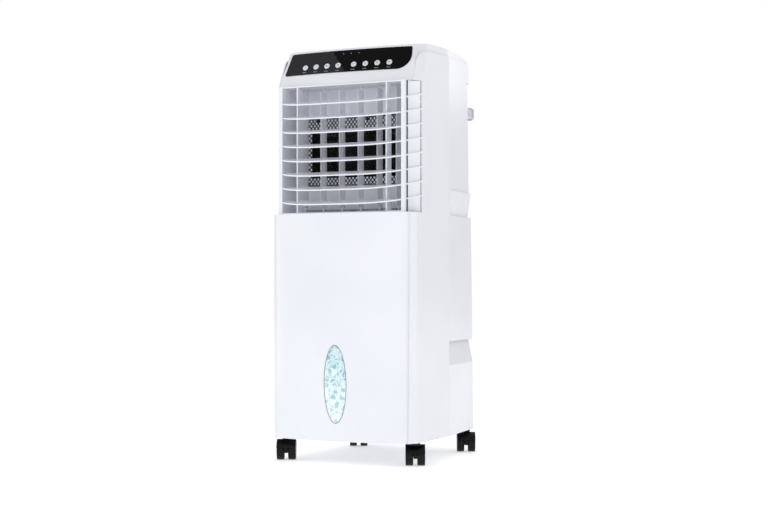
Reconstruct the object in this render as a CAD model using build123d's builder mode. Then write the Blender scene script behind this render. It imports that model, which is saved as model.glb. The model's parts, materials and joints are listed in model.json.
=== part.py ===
"""Tower evaporative cooler on casters: casing, louvred outlet, blower, wet pad, tank.

Frame: +Z up, the front faces -Y, +X is on the right seen from above with the front
towards the viewer. The origin is on the floor, below the middle of the whole object.
All sizes are in millimetres. A "depth" is a distance behind the casing's front plane.
"""

import math
import os

from build123d import *

os.makedirs("parts", exist_ok=True)

# ---- Casing -------------------------------------------------------------------------
BODY_WIDTH = 314.0  # across the flat sides
BODY_DEPTH = 357.0  # front plane to rear face, at the bottom edge
BODY_BOTTOM = 46.5  # lower edge of the casing above the floor
SIDE_TOP = 806.0  # upper edge of the side panels at the front
TOTAL_HEIGHT = 824.0  # highest point of the crowned top cover
WALL = 2.5  # moulded wall thickness
GAP = 0.3  # clearance between neighbouring mouldings
SEAM_DEPTH = 167.0  # depth of the upright seam, where the sides start to taper
REAR_TAPER = 0.11  # inward taper of each side behind the seam, per mm of depth
REAR_LEAN = 33.0  # how far the rear face leans forward over the casing's height
REAR_ROUND = 22.0  # radius of the two upright rear corners
CORNER_CUT = 10.0  # 45 degree bevel on the two upright front corners
FLANGE_INNER = 134.0  # inner edge of the front return flange of a side panel
REAR_STEP = 3.0  # how far the filter frame sits below the side panels' surface
TANK_TOP = 236.0  # seam between the water tank and the rear cover
COVER_TOP = 541.0  # seam between the rear cover and the filter frame
LEDGE_HEIGHT = 490.0  # finger ledge in the rear cover
LEDGE_CUT = 7.0  # depth of that ledge
GROOVE_LOW = 188.0  # lower edge of the tank's finger groove
GROOVE_CUT = 9.0  # depth of that groove
FRAME_TOP = 772.0  # upper edge of the filter frame
HEADER_HALF = 100.0  # half width of the top cover's rear skirt

# ---- Front panel --------------------------------------------------------------------
PANEL_TOP = 490.0
PANEL_PROUD = 14.0  # how far the panel's shoulders stand out at its ends
PANEL_BELLY = 6.0  # extra stand-out at mid height
PANEL_CROWN = 9.0  # extra stand-out on the centre line
PANEL_HALF_TOP = 146.5
PANEL_HALF_BOTTOM = 142.5
PANEL_SHOULDER = 112.0  # where the edge roll starts
WINDOW_WIDTH = 47.0
WINDOW_HEIGHT = 150.0
WINDOW_CENTRE = 157.5  # height of the water window's middle

# ---- Louvre grille ------------------------------------------------------------------
GRILLE_LOW = PANEL_TOP + GAP
GRILLE_HIGH = 743.7
LOUVRE_COUNT = 8
LOUVRE_LOWEST = 506.2  # front edge of the lowest louvre, on the centre line
LOUVRE_PITCH = 28.0
LOUVRE_TILT = 14.0  # degrees, front edge low
LOUVRE_THICK = 2.4
LOUVRE_HALF = 161.0  # half length of a louvre
LOUVRE_BOW = 33.0  # how far its middle stands in front of the casing
LOUVRE_WRAP = 68.0  # how far its ends lie behind its middle
LOUVRE_POWER = 3.9  # how suddenly the ends turn back
LOUVRE_BACK = 1.0  # depth of the louvres' straight rear edge
CHEEK_START = 138.0  # inner edge of the grille's two side cheeks
CHEEK_INSET = 5.0  # louvre front edge to cheek surface
CHEEK_WALL = 2.6
CHEEK_BACK = 36.0  # depth where the cheeks end and the side panels start
RIB_X = 98.0  # the two upright support ribs
RIB_THICK = 3.0
RIB_DEPTH = 20.0

# ---- Outlet duct, swing vanes and guard ---------------------------------------------
DUCT_HALF = 130.5
DUCT_FRONT = 3.0
DUCT_BACK = 66.0  # depth of the front of the back wall
OUTLET_HALF = 102.0
OUTLET_LOW = 565.0
OUTLET_HIGH = 658.0
VANE_PITCH = 41.5
VANE_COUNT = 6
VANE_CHORD = 25.0
VANE_THICK = 1.8
VANE_PIVOT = 42.5  # depth of the pivot line
VANE_ARM = 10.0  # pivot to link pin
VANE_LOW = 503.5
VANE_HIGH = 736.0
PIN_RADIUS = 1.5
PIN_FIT = 0.08  # radial running clearance of a pin
LINK_LOW = 497.5
LINK_HIGH = 500.0
GUARD_HALF = 120.0
GUARD_LOW = 547.0
GUARD_HIGH = 687.0
GUARD_THICK = 1.0
DIAMOND_X = 24.0  # pitch of the expanded mesh, along X and along Z
DIAMOND_Z = 14.0
SCREW_HEAD = 3.2

# ---- Top cover and controls ---------------------------------------------------------
HOOD_BOTTOM = GRILLE_HIGH + 2 * GAP
HOOD_RAKE = 0.5  # depth gained per mm of height on the sloping front
HOOD_BOW = 13.0  # how far the sloping front's ends lie behind its middle
HOOD_SLOPE_TOP = 817.0
HOOD_LAP = 8.0  # how far its side skirts reach below the side panels' edge
BEVEL_IN = 6.5  # raked corner bevel beside the slope: its front edge inside the flat sides
BEVEL_BACK = 17.0  # how far it runs back from there
BEVEL_DEPTH = 15.3  # depth of that edge at the hood's bottom
BEVEL_LEAD = 11.5  # depth of the side panels' front edge beside the slope, at its bottom
BEVEL_RISE = 36.0  # height over which that edge is straight
PANEL_SHOULDER_DEPTH = 64.0  # depth where the side panels' top edge starts
FACET_TOP_HALF = 137.0  # half width of the hood at the top of its slope
FACET_TOP_DEPTH = 48.0
FACET_NORMAL = (0.665, -0.605, 0.439)  # of the facet beside the fascia, on the right
FASCIA_TOP = 815.0
FASCIA_BOTTOM = 768.5
FASCIA_HALF_TOP = 133.0
FASCIA_HALF_BOTTOM = 139.5
FASCIA_PROUD = 1.0
FASCIA_ROUND = 26.0  # big lower right corner
FASCIA_SMALL_ROUND = 4.0
BUTTON_HEIGHT = 782.8
BUTTON_PITCH = 25.2
BUTTON_MIDDLE_GAP = 34.5  # between the two groups of four
BUTTON_ROW_X = 0.0  # middle of the whole row
BUTTON_RADIUS = 5.8
BUTTON_PROUD = 1.6
BUTTON_TRAVEL = 1.0
BUTTON_HOLE_FIT = 0.35
BOARD_BEHIND = 16.0  # control board behind the sloping front's middle
BOARD_THICK = 1.6
SWITCH_HEIGHT = 2.0
LED_HEIGHT = 807.0
LED_PITCH = 17.0
LED_RADIUS = 1.4

# ---- Blower -------------------------------------------------------------------------
FAN_DEPTH = 160.0
FAN_HEIGHT = 660.0
FAN_RADIUS = 64.0
FAN_INNER = 53.0
FAN_HALF = 92.0  # half length of the wheel
BLADE_COUNT = 30
SCROLL_LARGE = 95.0  # distance from the axis to the scroll's outlet floor
SCROLL_SMALL = 74.0
SHAFT_RADIUS = 4.0
MOTOR_RADIUS = 41.0
MOTOR_LENGTH = 36.0

# ---- Water side ---------------------------------------------------------------------
TUB_TOP = 180.0
TUB_FLOOR = 55.0
TUB_FRONT = 12.0
PAN_TOP = 53.5
PAD_HALF = 116.0
PAD_FRONT = 268.0
PAD_THICK = 30.0
RISER_X = -120.0
RISER_DEPTH = 100.0
RISER_RADIUS = 5.0
RISER_BEND = 26.0
PUMP_TOP = 200.0
TROUGH_LOW = 774.0
TROUGH_HIGH = 788.0

# ---- Casters and hooks --------------------------------------------------------------
WHEEL_RADIUS = 19.0
WHEEL_WIDTH = 15.0
WHEEL_SPACE = 8.0  # between the two wheels of a caster
CASTER_TRAIL = 12.0
CASTER_YAW = 25.5  # degrees that the casters are turned at rest
AXLE_RADIUS = 2.5
STEM_RADIUS = 4.5
HOOK_X = 122.0
HOOK_LOW = 700.0
HOOK_HIGH = 727.0
HOOK_OVERHANG = 6.0  # hook tips behind the bottom rear edge
GLAND_X = -112.0
GLAND_Z = 262.0
GLAND_BORE = 3.6

HALF = BODY_WIDTH / 2
FRONT = -(BODY_DEPTH + HOOK_OVERHANG - LOUVRE_BOW) / 2  # Y of the casing's front plane
NORMAL_SCALE = math.hypot(1.0, HOOD_RAKE)
SLOPE_NORMAL = Vector(0, -1.0 / NORMAL_SCALE, HOOD_RAKE / NORMAL_SCALE)
FAN_CENTRE = (0.0, FRONT + FAN_DEPTH, FAN_HEIGHT)


def half_width(depth):
    """Half width of the casing at a depth behind the front plane."""
    return HALF - REAR_TAPER * max(0.0, depth - SEAM_DEPTH)


def rear_y(height):
    """Y of the leaning rear face at a height."""
    share = (height - BODY_BOTTOM) / (TOTAL_HEIGHT - BODY_BOTTOM)
    return FRONT + BODY_DEPTH - REAR_LEAN * share


def casing_corners(height, inset, rear_cut):
    """Corners of half the casing's plan at a height, moved inward by an inset."""
    slant = math.hypot(1.0, REAR_TAPER)
    bevel = inset * (math.sqrt(2) - 1)
    seam = FRONT + SEAM_DEPTH + inset * (1 - slant) / REAR_TAPER
    back = rear_y(height) - inset - rear_cut
    back_x = HALF - REAR_TAPER * (back - FRONT - SEAM_DEPTH) - inset * slant
    return [
        (HALF - CORNER_CUT - bevel, FRONT + inset),
        (HALF - inset, FRONT + CORNER_CUT + bevel),
        (HALF - inset, seam),
        (back_x, back),
    ]


def casing_block(low, high, inset_low, inset_high, rear_cut=0.0):
    """Solid of the casing's outer form between two heights, at an inset for each end."""
    with BuildPart() as block:
        for height, inset in ((low, inset_low), (high, inset_high)):
            right = casing_corners(height, inset, rear_cut)
            left = [(-x, y) for x, y in reversed(right)]
            with BuildSketch(Plane.XY.offset(height)) as plan:
                with BuildLine():
                    Polyline(*right, *left, close=True)
                make_face()
                fillet(plan.vertices().sort_by(Axis.Y)[-2:], REAR_ROUND - inset)
        loft(ruled=True)
    return block.part


def casing_ring(low, high, inset, rear_cut=0.0):
    """Wall of one moulding thickness that follows the casing's outer form."""
    with BuildPart() as ring:
        add(casing_block(low, high, inset, inset, rear_cut))
        core = casing_block(low - 1, high + 1, inset + WALL, inset + WALL, rear_cut)
        add(core, mode=Mode.SUBTRACT)
    return ring.part


def between(x_low, x_high, y_low, y_high, z_low, z_high):
    """Box from its limits."""
    with BuildPart() as block:
        with Locations(((x_low + x_high) / 2, (y_low + y_high) / 2, (z_low + z_high) / 2)):
            Box(x_high - x_low, y_high - y_low, z_high - z_low)
    return block.part


def louvre_depth(x, inset=0.0):
    """Y of the louvres' bowed front edge at x, or of a line behind it by an inset."""
    turn = abs(x) / (LOUVRE_HALF - inset)
    return FRONT - LOUVRE_BOW + inset + (LOUVRE_WRAP - inset) * turn**LOUVRE_POWER


def hood_front(x, z):
    """Y of the top cover's sloping front."""
    bow = HOOD_BOW * (x / HALF) ** 2
    return FRONT + HOOD_RAKE * (z - HOOD_BOTTOM) + bow


def slope_plane(x, z, behind=0.0):
    """Plane that looks out of the sloping front at a point, at a distance behind it."""
    point = Vector(x, hood_front(x, z), z) - SLOPE_NORMAL * behind
    return Plane(origin=point, x_dir=(1, 0, 0), z_dir=SLOPE_NORMAL)


def save(part, name):
    """Label a finished piece and write it."""
    part.label = name
    export_step(part, f"parts/{name}.step")


# ---- Side panels' outline -----------------------------------------------------------
REAR_EDGE = (
    (SEAM_DEPTH + 3.5, LEDGE_HEIGHT - 6.0),
    (SEAM_DEPTH + 14.5, COVER_TOP),
    (SEAM_DEPTH + 26.0, COVER_TOP + 54.0),
    (SEAM_DEPTH + 41.0, COVER_TOP + 113.0),
    (SEAM_DEPTH + 62.0, COVER_TOP + 161.0),
    (SEAM_DEPTH + 87.0, COVER_TOP + 198.0),
    (SEAM_DEPTH + 128.0, FRAME_TOP + GAP),
)


def side_outline(shift):
    """Side view of a side panel, its rear edge moved rearward by a shift."""
    curve = [(FRONT + depth + shift, height) for depth, height in REAR_EDGE]
    rear = FRONT + BODY_DEPTH
    with BuildSketch(Plane.YZ) as view:
        with BuildLine():
            Polyline(
                (FRONT + SEAM_DEPTH, LEDGE_HEIGHT - 6.0),
                (FRONT + SEAM_DEPTH, BODY_BOTTOM),
                (FRONT, BODY_BOTTOM),
                (FRONT, PANEL_TOP),
                (FRONT + CHEEK_BACK, PANEL_TOP),
                (FRONT + CHEEK_BACK, HOOD_BOTTOM),
                (FRONT + BEVEL_LEAD, HOOD_BOTTOM),
                (FRONT + BEVEL_LEAD + HOOD_RAKE * BEVEL_RISE, HOOD_BOTTOM + BEVEL_RISE),
            )
            ThreePointArc(
                (FRONT + BEVEL_LEAD + HOOD_RAKE * BEVEL_RISE, HOOD_BOTTOM + BEVEL_RISE),
                (FRONT + PANEL_SHOULDER_DEPTH - 25.0, SIDE_TOP - 10.0),
                (FRONT + PANEL_SHOULDER_DEPTH, SIDE_TOP),
            )
            Polyline(
                (FRONT + PANEL_SHOULDER_DEPTH, SIDE_TOP),
                (rear, SIDE_TOP + 6.0),
                (rear, FRAME_TOP + GAP),
                curve[-1],
            )
            Spline(*reversed(curve))
            Line(curve[0], (FRONT + SEAM_DEPTH, LEDGE_HEIGHT - 6.0))
        make_face()
    return view.sketch


# ---- Base pan -----------------------------------------------------------------------
CASTERS = {
    "front_left": (-142.0, FRONT + 36.0, 0.0),
    "front_right": (142.0, FRONT + 36.0, 180.0),
    "rear_left": (-126.0, FRONT + 326.0, 0.0),
    "rear_right": (126.0, FRONT + 326.0, 0.0),
}

with BuildPart() as base_pan:
    add(casing_block(BODY_BOTTOM + 1, PAN_TOP, WALL + GAP, WALL + GAP))
    front_lip = between(
        -HALF + 2 * CORNER_CUT, HALF - 2 * CORNER_CUT, FRONT + WALL + GAP, FRONT + 5.5,
        PAN_TOP - 1, PAN_TOP + 20,
    )
    add(front_lip)
    for x, y, _ in CASTERS.values():
        with Locations((x, y, BODY_BOTTOM + 1)):
            Hole(radius=STEM_RADIUS + 0.05, depth=5.0)
save(base_pan.part, "base_pan")

# ---- Rear cover ---------------------------------------------------------------------
with BuildPart() as rear_cover:
    add(casing_block(TANK_TOP + GAP, LEDGE_HEIGHT, 0.0, 0.0))
    add(casing_block(LEDGE_HEIGHT, COVER_TOP, LEDGE_CUT, 0.0))
    add(casing_block(TANK_TOP - 1, LEDGE_HEIGHT - WALL, WALL, WALL), mode=Mode.SUBTRACT)
    core = casing_block(LEDGE_HEIGHT - WALL, COVER_TOP + 1, LEDGE_CUT + WALL, WALL)
    add(core, mode=Mode.SUBTRACT)
    front_part = between(
        -200, 200, FRONT - 5, FRONT + SEAM_DEPTH + GAP, TANK_TOP - 5, COVER_TOP + 5
    )
    add(front_part, mode=Mode.SUBTRACT)
    with Locations(
        Plane(origin=(GLAND_X, rear_y(GLAND_Z), GLAND_Z), x_dir=(1, 0, 0), z_dir=(0, 1, 0))
    ):
        Cylinder(radius=8.0 + 0.1, height=20.0, mode=Mode.SUBTRACT)
    for side in (1, -1):
        edge_zone = between(
            min(side * 100, side * 200), max(side * 100, side * 200),
            FRONT, FRONT + SEAM_DEPTH + 20, LEDGE_HEIGHT - 6.5, COVER_TOP + 5,
        )
        with BuildPart(mode=Mode.PRIVATE) as curve_side:
            extrude(side_outline(GAP), amount=side * 200)
        add(curve_side.part & edge_zone, mode=Mode.SUBTRACT)
save(rear_cover.part, "rear_cover")

# ---- Water tank ---------------------------------------------------------------------
with BuildPart() as water_tank:
    add(casing_block(BODY_BOTTOM, GROOVE_LOW, 0.0, 0.0))
    add(casing_block(GROOVE_LOW, TANK_TOP, 0.0, GROOVE_CUT))
    add(
        between(-200, 200, FRONT - 5, FRONT + SEAM_DEPTH + GAP, BODY_BOTTOM - 5, TANK_TOP + 5),
        mode=Mode.SUBTRACT,
    )
    with BuildPart(mode=Mode.PRIVATE) as front_tub:
        add(casing_block(TUB_FLOOR, TUB_TOP, WALL + 2 * GAP, WALL + 2 * GAP))
        tub_zone = between(
            -200, 200, FRONT + TUB_FRONT, FRONT + SEAM_DEPTH + 5, TUB_FLOOR, TUB_TOP
        )
        add(tub_zone, mode=Mode.INTERSECT)
    add(front_tub.part)
    add(casing_block(BODY_BOTTOM - 1, TUB_FLOOR, WALL, WALL), mode=Mode.SUBTRACT)
    tub_wall = 2 * WALL + 2 * GAP
    with BuildPart(mode=Mode.PRIVATE) as tub_space:
        add(casing_block(TUB_FLOOR + WALL, GROOVE_LOW, tub_wall, tub_wall))
        add(casing_block(GROOVE_LOW, TANK_TOP + 1, tub_wall, GROOVE_CUT + WALL))
        behind_wall = between(
            -200, 200, FRONT + TUB_FRONT + WALL, FRONT + BODY_DEPTH, TUB_FLOOR, TANK_TOP + 5
        )
        add(behind_wall, mode=Mode.INTERSECT)
    add(tub_space.part, mode=Mode.SUBTRACT)
save(water_tank.part, "water_tank")

# ---- Filter frame, dust filter and cooling pad --------------------------------------
with BuildPart() as filter_frame:
    add(casing_ring(COVER_TOP + GAP, FRAME_TOP, REAR_STEP, rear_cut=REAR_STEP))
    for side in (1, -1):
        with BuildPart(mode=Mode.PRIVATE) as curve_side:
            extrude(side_outline(GAP), amount=side * 200)
        add(curve_side.part, mode=Mode.SUBTRACT)
    add(between(-90, 90, FRONT - 5, FRONT + 60, 500, 800), mode=Mode.SUBTRACT)
    add(between(-200, 200, FRONT - 5, FRONT + 150, 500, 800), mode=Mode.SUBTRACT)
    inner = WALL + REAR_STEP
    for low, high in ((COVER_TOP + GAP, COVER_TOP + GAP + WALL), (FRAME_TOP - WALL, FRAME_TOP)):
        with BuildPart(mode=Mode.PRIVATE) as shelf:
            add(casing_block(low, high, inner - 1.0, inner - 1.0, rear_cut=REAR_STEP))
            shelf_zone = between(
                -PAD_HALF - 6, PAD_HALF + 6, FRONT + PAD_FRONT - 4, FRONT + BODY_DEPTH, low, high
            )
            add(shelf_zone, mode=Mode.INTERSECT)
        add(shelf.part)
    for side in (1, -1):
        x_low, x_high = sorted((side * (PAD_HALF + GAP), side * (PAD_HALF + 3.0)))
        rail = between(
            x_low, x_high, FRONT + PAD_FRONT - 4, FRONT + PAD_FRONT + PAD_THICK + 12,
            COVER_TOP + 1, FRAME_TOP - 1,
        )
        add(rail)
    SLOT_TOP = FRAME_TOP - 52.0
    SLOT_ROWS = 14
    SLOT_PITCH = (SLOT_TOP - COVER_TOP - 30.0) / (SLOT_ROWS - 1)
    for row in range(SLOT_ROWS):
        height = COVER_TOP + 22.0 + row * SLOT_PITCH
        for column in (-1, 0, 1):
            slot = between(
                column * 72.0 - 33.0, column * 72.0 + 33.0,
                FRONT + PAD_FRONT + PAD_THICK + 6, FRONT + BODY_DEPTH, height - 4.0, height + 4.0,
            )
            add(slot, mode=Mode.SUBTRACT)
    for side in (1, -1):
        for height in (HOOK_LOW + 4.0, HOOK_HIGH - 4.0):
            with Locations(
                Plane(origin=(side * HOOK_X, rear_y(height), height), z_dir=(0, 1, 0))
            ):
                Cylinder(radius=1.6, height=30.0, mode=Mode.SUBTRACT)
save(filter_frame.part, "filter_frame")

with BuildPart() as cooling_pad:
    pad_low = COVER_TOP + 2 * GAP + WALL
    pad_high = FRAME_TOP - WALL - GAP
    add(
        between(
            -PAD_HALF, PAD_HALF, FRONT + PAD_FRONT, FRONT + PAD_FRONT + PAD_THICK,
            pad_low, pad_high,
        )
    )
save(cooling_pad.part, "cooling_pad")

with BuildPart() as dust_filter:
    FILTER_FRONT = FRONT + PAD_FRONT + PAD_THICK + 1.0
    add(between(-PAD_HALF, PAD_HALF, FILTER_FRONT, FILTER_FRONT + 3.0, pad_low, pad_high))
    with BuildPart(mode=Mode.PRIVATE) as windows:
        with Locations((0, FILTER_FRONT + 1.5, (pad_low + pad_high) / 2)):
            with GridLocations(58.0, 1.0, 4, 1):
                Box(50.0, 10.0, pad_high - pad_low - 14.0)
    with BuildPart(mode=Mode.PRIVATE) as cloth:
        add(between(-PAD_HALF + 2, PAD_HALF - 2, FILTER_FRONT + 1.0, FILTER_FRONT + 2.0,
                    pad_low + 2, pad_high - 2))
    add(windows.part, mode=Mode.SUBTRACT)
    add(cloth.part)
save(dust_filter.part, "dust_filter")

# ---- Cord hooks ---------------------------------------------------------------------
HOOK_REAR = FRONT + BODY_DEPTH + HOOK_OVERHANG
with BuildPart() as cord_hooks:
    middle = (HOOK_LOW + HOOK_HIGH) / 2
    base = rear_y(HOOK_HIGH) - 2 * REAR_STEP + 1.2
    for side in (1, -1):
        plane = Plane(origin=(side * HOOK_X, base, middle), x_dir=(1, 0, 0), z_dir=(0, 1, 0))
        with BuildSketch(plane):
            RectangleRounded(16.0, HOOK_HIGH - HOOK_LOW - 6.0, 5.0)
        extrude(amount=HOOK_REAR - base - 8.0)
        with BuildSketch(plane.offset(HOOK_REAR - base - 8.0)):
            RectangleRounded(20.0, HOOK_HIGH - HOOK_LOW, 7.0)
        extrude(amount=8.0)
    rear_faces = cord_hooks.faces().filter_by(Axis.Y).sort_by(Axis.Y)[-2:]
    fillet(rear_faces.edges(), 3.0)
save(cord_hooks.part, "cord_hooks")

# ---- Front panel and water window ---------------------------------------------------
PANEL_SECTIONS = (BODY_BOTTOM, 160.0, 330.0, PANEL_TOP)


def panel_loft(inset, low_inset, high_inset):
    """Bowed front form of the panel, moved inward by an inset."""
    low = BODY_BOTTOM + low_inset
    high = PANEL_TOP - high_inset
    with BuildPart() as form:
        for height in (low, *PANEL_SECTIONS[1:-1], high):
            share = (height - BODY_BOTTOM) / (PANEL_TOP - BODY_BOTTOM)
            half = PANEL_HALF_BOTTOM + (PANEL_HALF_TOP - PANEL_HALF_BOTTOM) * share - inset
            belly = PANEL_BELLY * math.sin(math.pi * share)
            shoulder = PANEL_PROUD + belly - inset
            crown = shoulder + PANEL_CROWN
            flat = PANEL_SHOULDER
            front = [
                (-half, 0.0),
                (-half + 1.2, shoulder * 0.35),
                (-(half + flat) / 2, shoulder * 0.8),
                (-flat, shoulder),
                (-flat / 2, shoulder + PANEL_CROWN * 0.72),
                (0.0, crown),
            ]
            mirrored = [(-x, y) for x, y in reversed(front[:-1])]
            points = [(x, FRONT - GAP - y) for x, y in front + mirrored]
            with BuildSketch(Plane.XY.offset(height)):
                with BuildLine():
                    Spline(*points)
                    Line(points[-1], points[0])
                make_face()
        loft()
    return form.part


PANEL_SKIN = panel_loft(0.0, 0.0, 0.0)
PANEL_CORE = panel_loft(WALL, WALL, WALL)


def window_prism(clearance):
    """Upright elliptical cut for the water window."""
    with BuildPart() as prism:
        with BuildSketch(Plane.XZ.offset(-FRONT + 60.0)):
            with Locations((0, WINDOW_CENTRE)):
                Ellipse(WINDOW_WIDTH / 2 - clearance, WINDOW_HEIGHT / 2 - clearance)
        extrude(amount=-70.0)
    return prism.part


with BuildPart() as front_panel:
    add(PANEL_SKIN)
    add(PANEL_CORE, mode=Mode.SUBTRACT)
    add(window_prism(0.0), mode=Mode.SUBTRACT)
save(front_panel.part, "front_panel")

with BuildPart() as water_window:
    add(PANEL_SKIN)
    add(PANEL_CORE, mode=Mode.SUBTRACT)
    add(window_prism(GAP), mode=Mode.INTERSECT)
save(water_window.part, "water_window")

# ---- Louvre grille ------------------------------------------------------------------
TILT = math.radians(LOUVRE_TILT)


def louvre_plane(index):
    """Plane of a louvre's middle, its origin on the front edge's centre."""
    height = LOUVRE_LOWEST + index * LOUVRE_PITCH
    return Plane(
        origin=(0, FRONT - LOUVRE_BOW, height),
        x_dir=(1, 0, 0),
        z_dir=(0, -math.sin(TILT), math.cos(TILT)),
    )


def louvre_points(inset, x_values):
    """Points of the bowed edge in a louvre's own plane."""
    start = FRONT - LOUVRE_BOW
    return [(x, (louvre_depth(x, inset) - start) / math.cos(TILT)) for x in x_values]


CHEEK_MIDDLE = CHEEK_INSET + CHEEK_WALL / 2
EDGE_X = [-LOUVRE_HALF, -150, -135, -110, -70, 0, 70, 110, 135, 150, LOUVRE_HALF]
CHEEK_END = LOUVRE_HALF - CHEEK_INSET
BLADE_CORNER = DUCT_HALF + WALL + 0.5
CHEEK_STOP = CHEEK_END - CHEEK_WALL / 2
CHEEK_X = [CHEEK_START + step * (CHEEK_STOP - CHEEK_START) / 3 for step in range(4)]

with BuildPart() as louvre_grille:
    for index in range(LOUVRE_COUNT):
        with BuildSketch(louvre_plane(index).offset(-LOUVRE_THICK / 2)) as blade:
            with BuildLine():
                edge = louvre_points(0.0, EDGE_X)
                Spline(*edge)
                right = louvre_points(CHEEK_MIDDLE, CHEEK_X)
                back = (LOUVRE_BACK + LOUVRE_BOW) / math.cos(TILT)
                Polyline(edge[-1], right[-1])
                Spline(*reversed(right))
                left = [(-x, y) for x, y in right]
                Polyline(right[0], (BLADE_CORNER, back), (-BLADE_CORNER, back), left[0])
                Spline(*left)
                Polyline(left[-1], edge[0])
            make_face()
        extrude(amount=LOUVRE_THICK)
    with BuildSketch(Plane.XY.offset(GRILLE_LOW)):
        for side in (1, -1):
            with BuildLine():
                outer = [(side * x, louvre_depth(x, CHEEK_INSET)) for x in CHEEK_X]
                inner = [(side * (x - 1.6), y + CHEEK_WALL) for x, y in
                         [(abs(a), b) for a, b in outer]]
                Spline(*outer)
                Line(outer[-1], inner[-1])
                Spline(*reversed(inner))
                Line(inner[0], outer[0])
            make_face()
            with Locations((side * (DUCT_HALF + 4.0), FRONT + DUCT_FRONT - 4.0)):
                Rectangle(8.0, 7.0)
    extrude(amount=GRILLE_HIGH - GRILLE_LOW)
    for low, high in ((GRILLE_LOW, GRILLE_LOW + WALL), (GRILLE_HIGH - WALL, GRILLE_HIGH)):
        add(between(-CHEEK_START + 1, CHEEK_START - 1, FRONT - 2.0, FRONT + 2.0, low, high))
    for side in (1, -1):
        rib_side = side * RIB_X
        add(
            between(
                rib_side - RIB_THICK / 2, rib_side + RIB_THICK / 2, FRONT - 2.0,
                FRONT - 2.0 + RIB_DEPTH, GRILLE_LOW + WALL + GAP, GRILLE_HIGH - WALL - GAP,
            )
        )
        x_low, x_high = sorted((side * DUCT_HALF, side * (HALF + GAP)))
        panel_edge = FRONT + CHEEK_BACK - GAP
        add(
            between(x_low, x_high, panel_edge, panel_edge + 20, GRILLE_LOW - 5, GRILLE_HIGH + 5),
            mode=Mode.SUBTRACT,
        )
save(louvre_grille.part, "louvre_grille")

# ---- Top cover ----------------------------------------------------------------------


def raked_prism(inset, half, low, high):
    """Block whose bowed front follows the sloping front, moved inward by an inset."""
    near = FRONT + inset * NORMAL_SCALE + HOOD_RAKE * (low - HOOD_BOTTOM)
    ends = near + HOOD_BOW * (half / HALF) ** 2
    with BuildPart() as prism:
        with BuildSketch(Plane.XY.offset(low)):
            with BuildLine():
                ThreePointArc((-half, ends), (0, near), (half, ends))
                Polyline((half, ends), (half, near + 400.0), (-half, near + 400.0), (-half, ends))
            make_face()
        extrude(amount=(high - low) * NORMAL_SCALE, dir=(0, HOOD_RAKE, 1))
    return prism.part


def bevel_plane(side, inset):
    """Raked corner bevel beside the sloping front, moved inward by an inset."""
    along = Vector(side * BEVEL_IN, BEVEL_BACK, 0)
    normal = along.cross(Vector(0, HOOD_RAKE, 1)).normalized() * side
    edge = Vector(side * (HALF - BEVEL_IN), FRONT + BEVEL_DEPTH, HOOD_BOTTOM)
    return Plane(origin=edge - normal * inset, z_dir=normal)


def hood_form(inset):
    """Top cover's outer form, moved inward by an inset."""
    low = HOOD_BOTTOM - (1.0 if inset else 0.0)
    crown_y = FRONT + 200.0
    rear = rear_y(TOTAL_HEIGHT) - inset
    slope_top = FRONT + HOOD_RAKE * (HOOD_SLOPE_TOP - HOOD_BOTTOM) + inset * NORMAL_SCALE
    with BuildPart() as form:
        with BuildSketch(Plane.YZ.offset(-HALF)):
            with BuildLine():
                Line((FRONT - 20.0, low), (rear, low))
                Line((rear, low), (rear, SIDE_TOP + 4.0))
                ThreePointArc(
                    (rear, SIDE_TOP + 4.0),
                    (rear - 5.0, SIDE_TOP + 12.0 - inset),
                    (rear - 16.0, TOTAL_HEIGHT - 5.0 - inset),
                )
                ThreePointArc(
                    (rear - 16.0, TOTAL_HEIGHT - 5.0 - inset),
                    (crown_y, TOTAL_HEIGHT - inset),
                    (slope_top, HOOD_SLOPE_TOP + 2.0 - inset),
                )
                Line((slope_top, HOOD_SLOPE_TOP + 2.0 - inset), (FRONT - 20.0, TOTAL_HEIGHT))
                Line((FRONT - 20.0, TOTAL_HEIGHT), (FRONT - 20.0, low))
            make_face()
        extrude(amount=2 * HALF)
        add(raked_prism(inset, HALF, low, TOTAL_HEIGHT + 5.0), mode=Mode.INTERSECT)
        add(
            casing_block(low, TOTAL_HEIGHT + 1, WALL + GAP + inset, WALL + GAP + inset),
            mode=Mode.INTERSECT,
        )
        for side in (1, -1):
            facet_x, facet_y, facet_z = FACET_NORMAL
            facet_normal = Vector(side * facet_x, facet_y, facet_z)
            point = Vector(side * FACET_TOP_HALF, FRONT + FACET_TOP_DEPTH, HOOD_SLOPE_TOP)
            facet = Plane(origin=point - facet_normal * inset, z_dir=facet_normal)
            split(bisect_by=facet, keep=Keep.BOTTOM)
            split(bisect_by=bevel_plane(side, WALL + GAP + inset), keep=Keep.BOTTOM)
    return form.part


HOOD_SKIN = hood_form(0.0)
HOOD_CORE = hood_form(WALL)
HOOD_ROOM = hood_form(-GAP)

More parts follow.
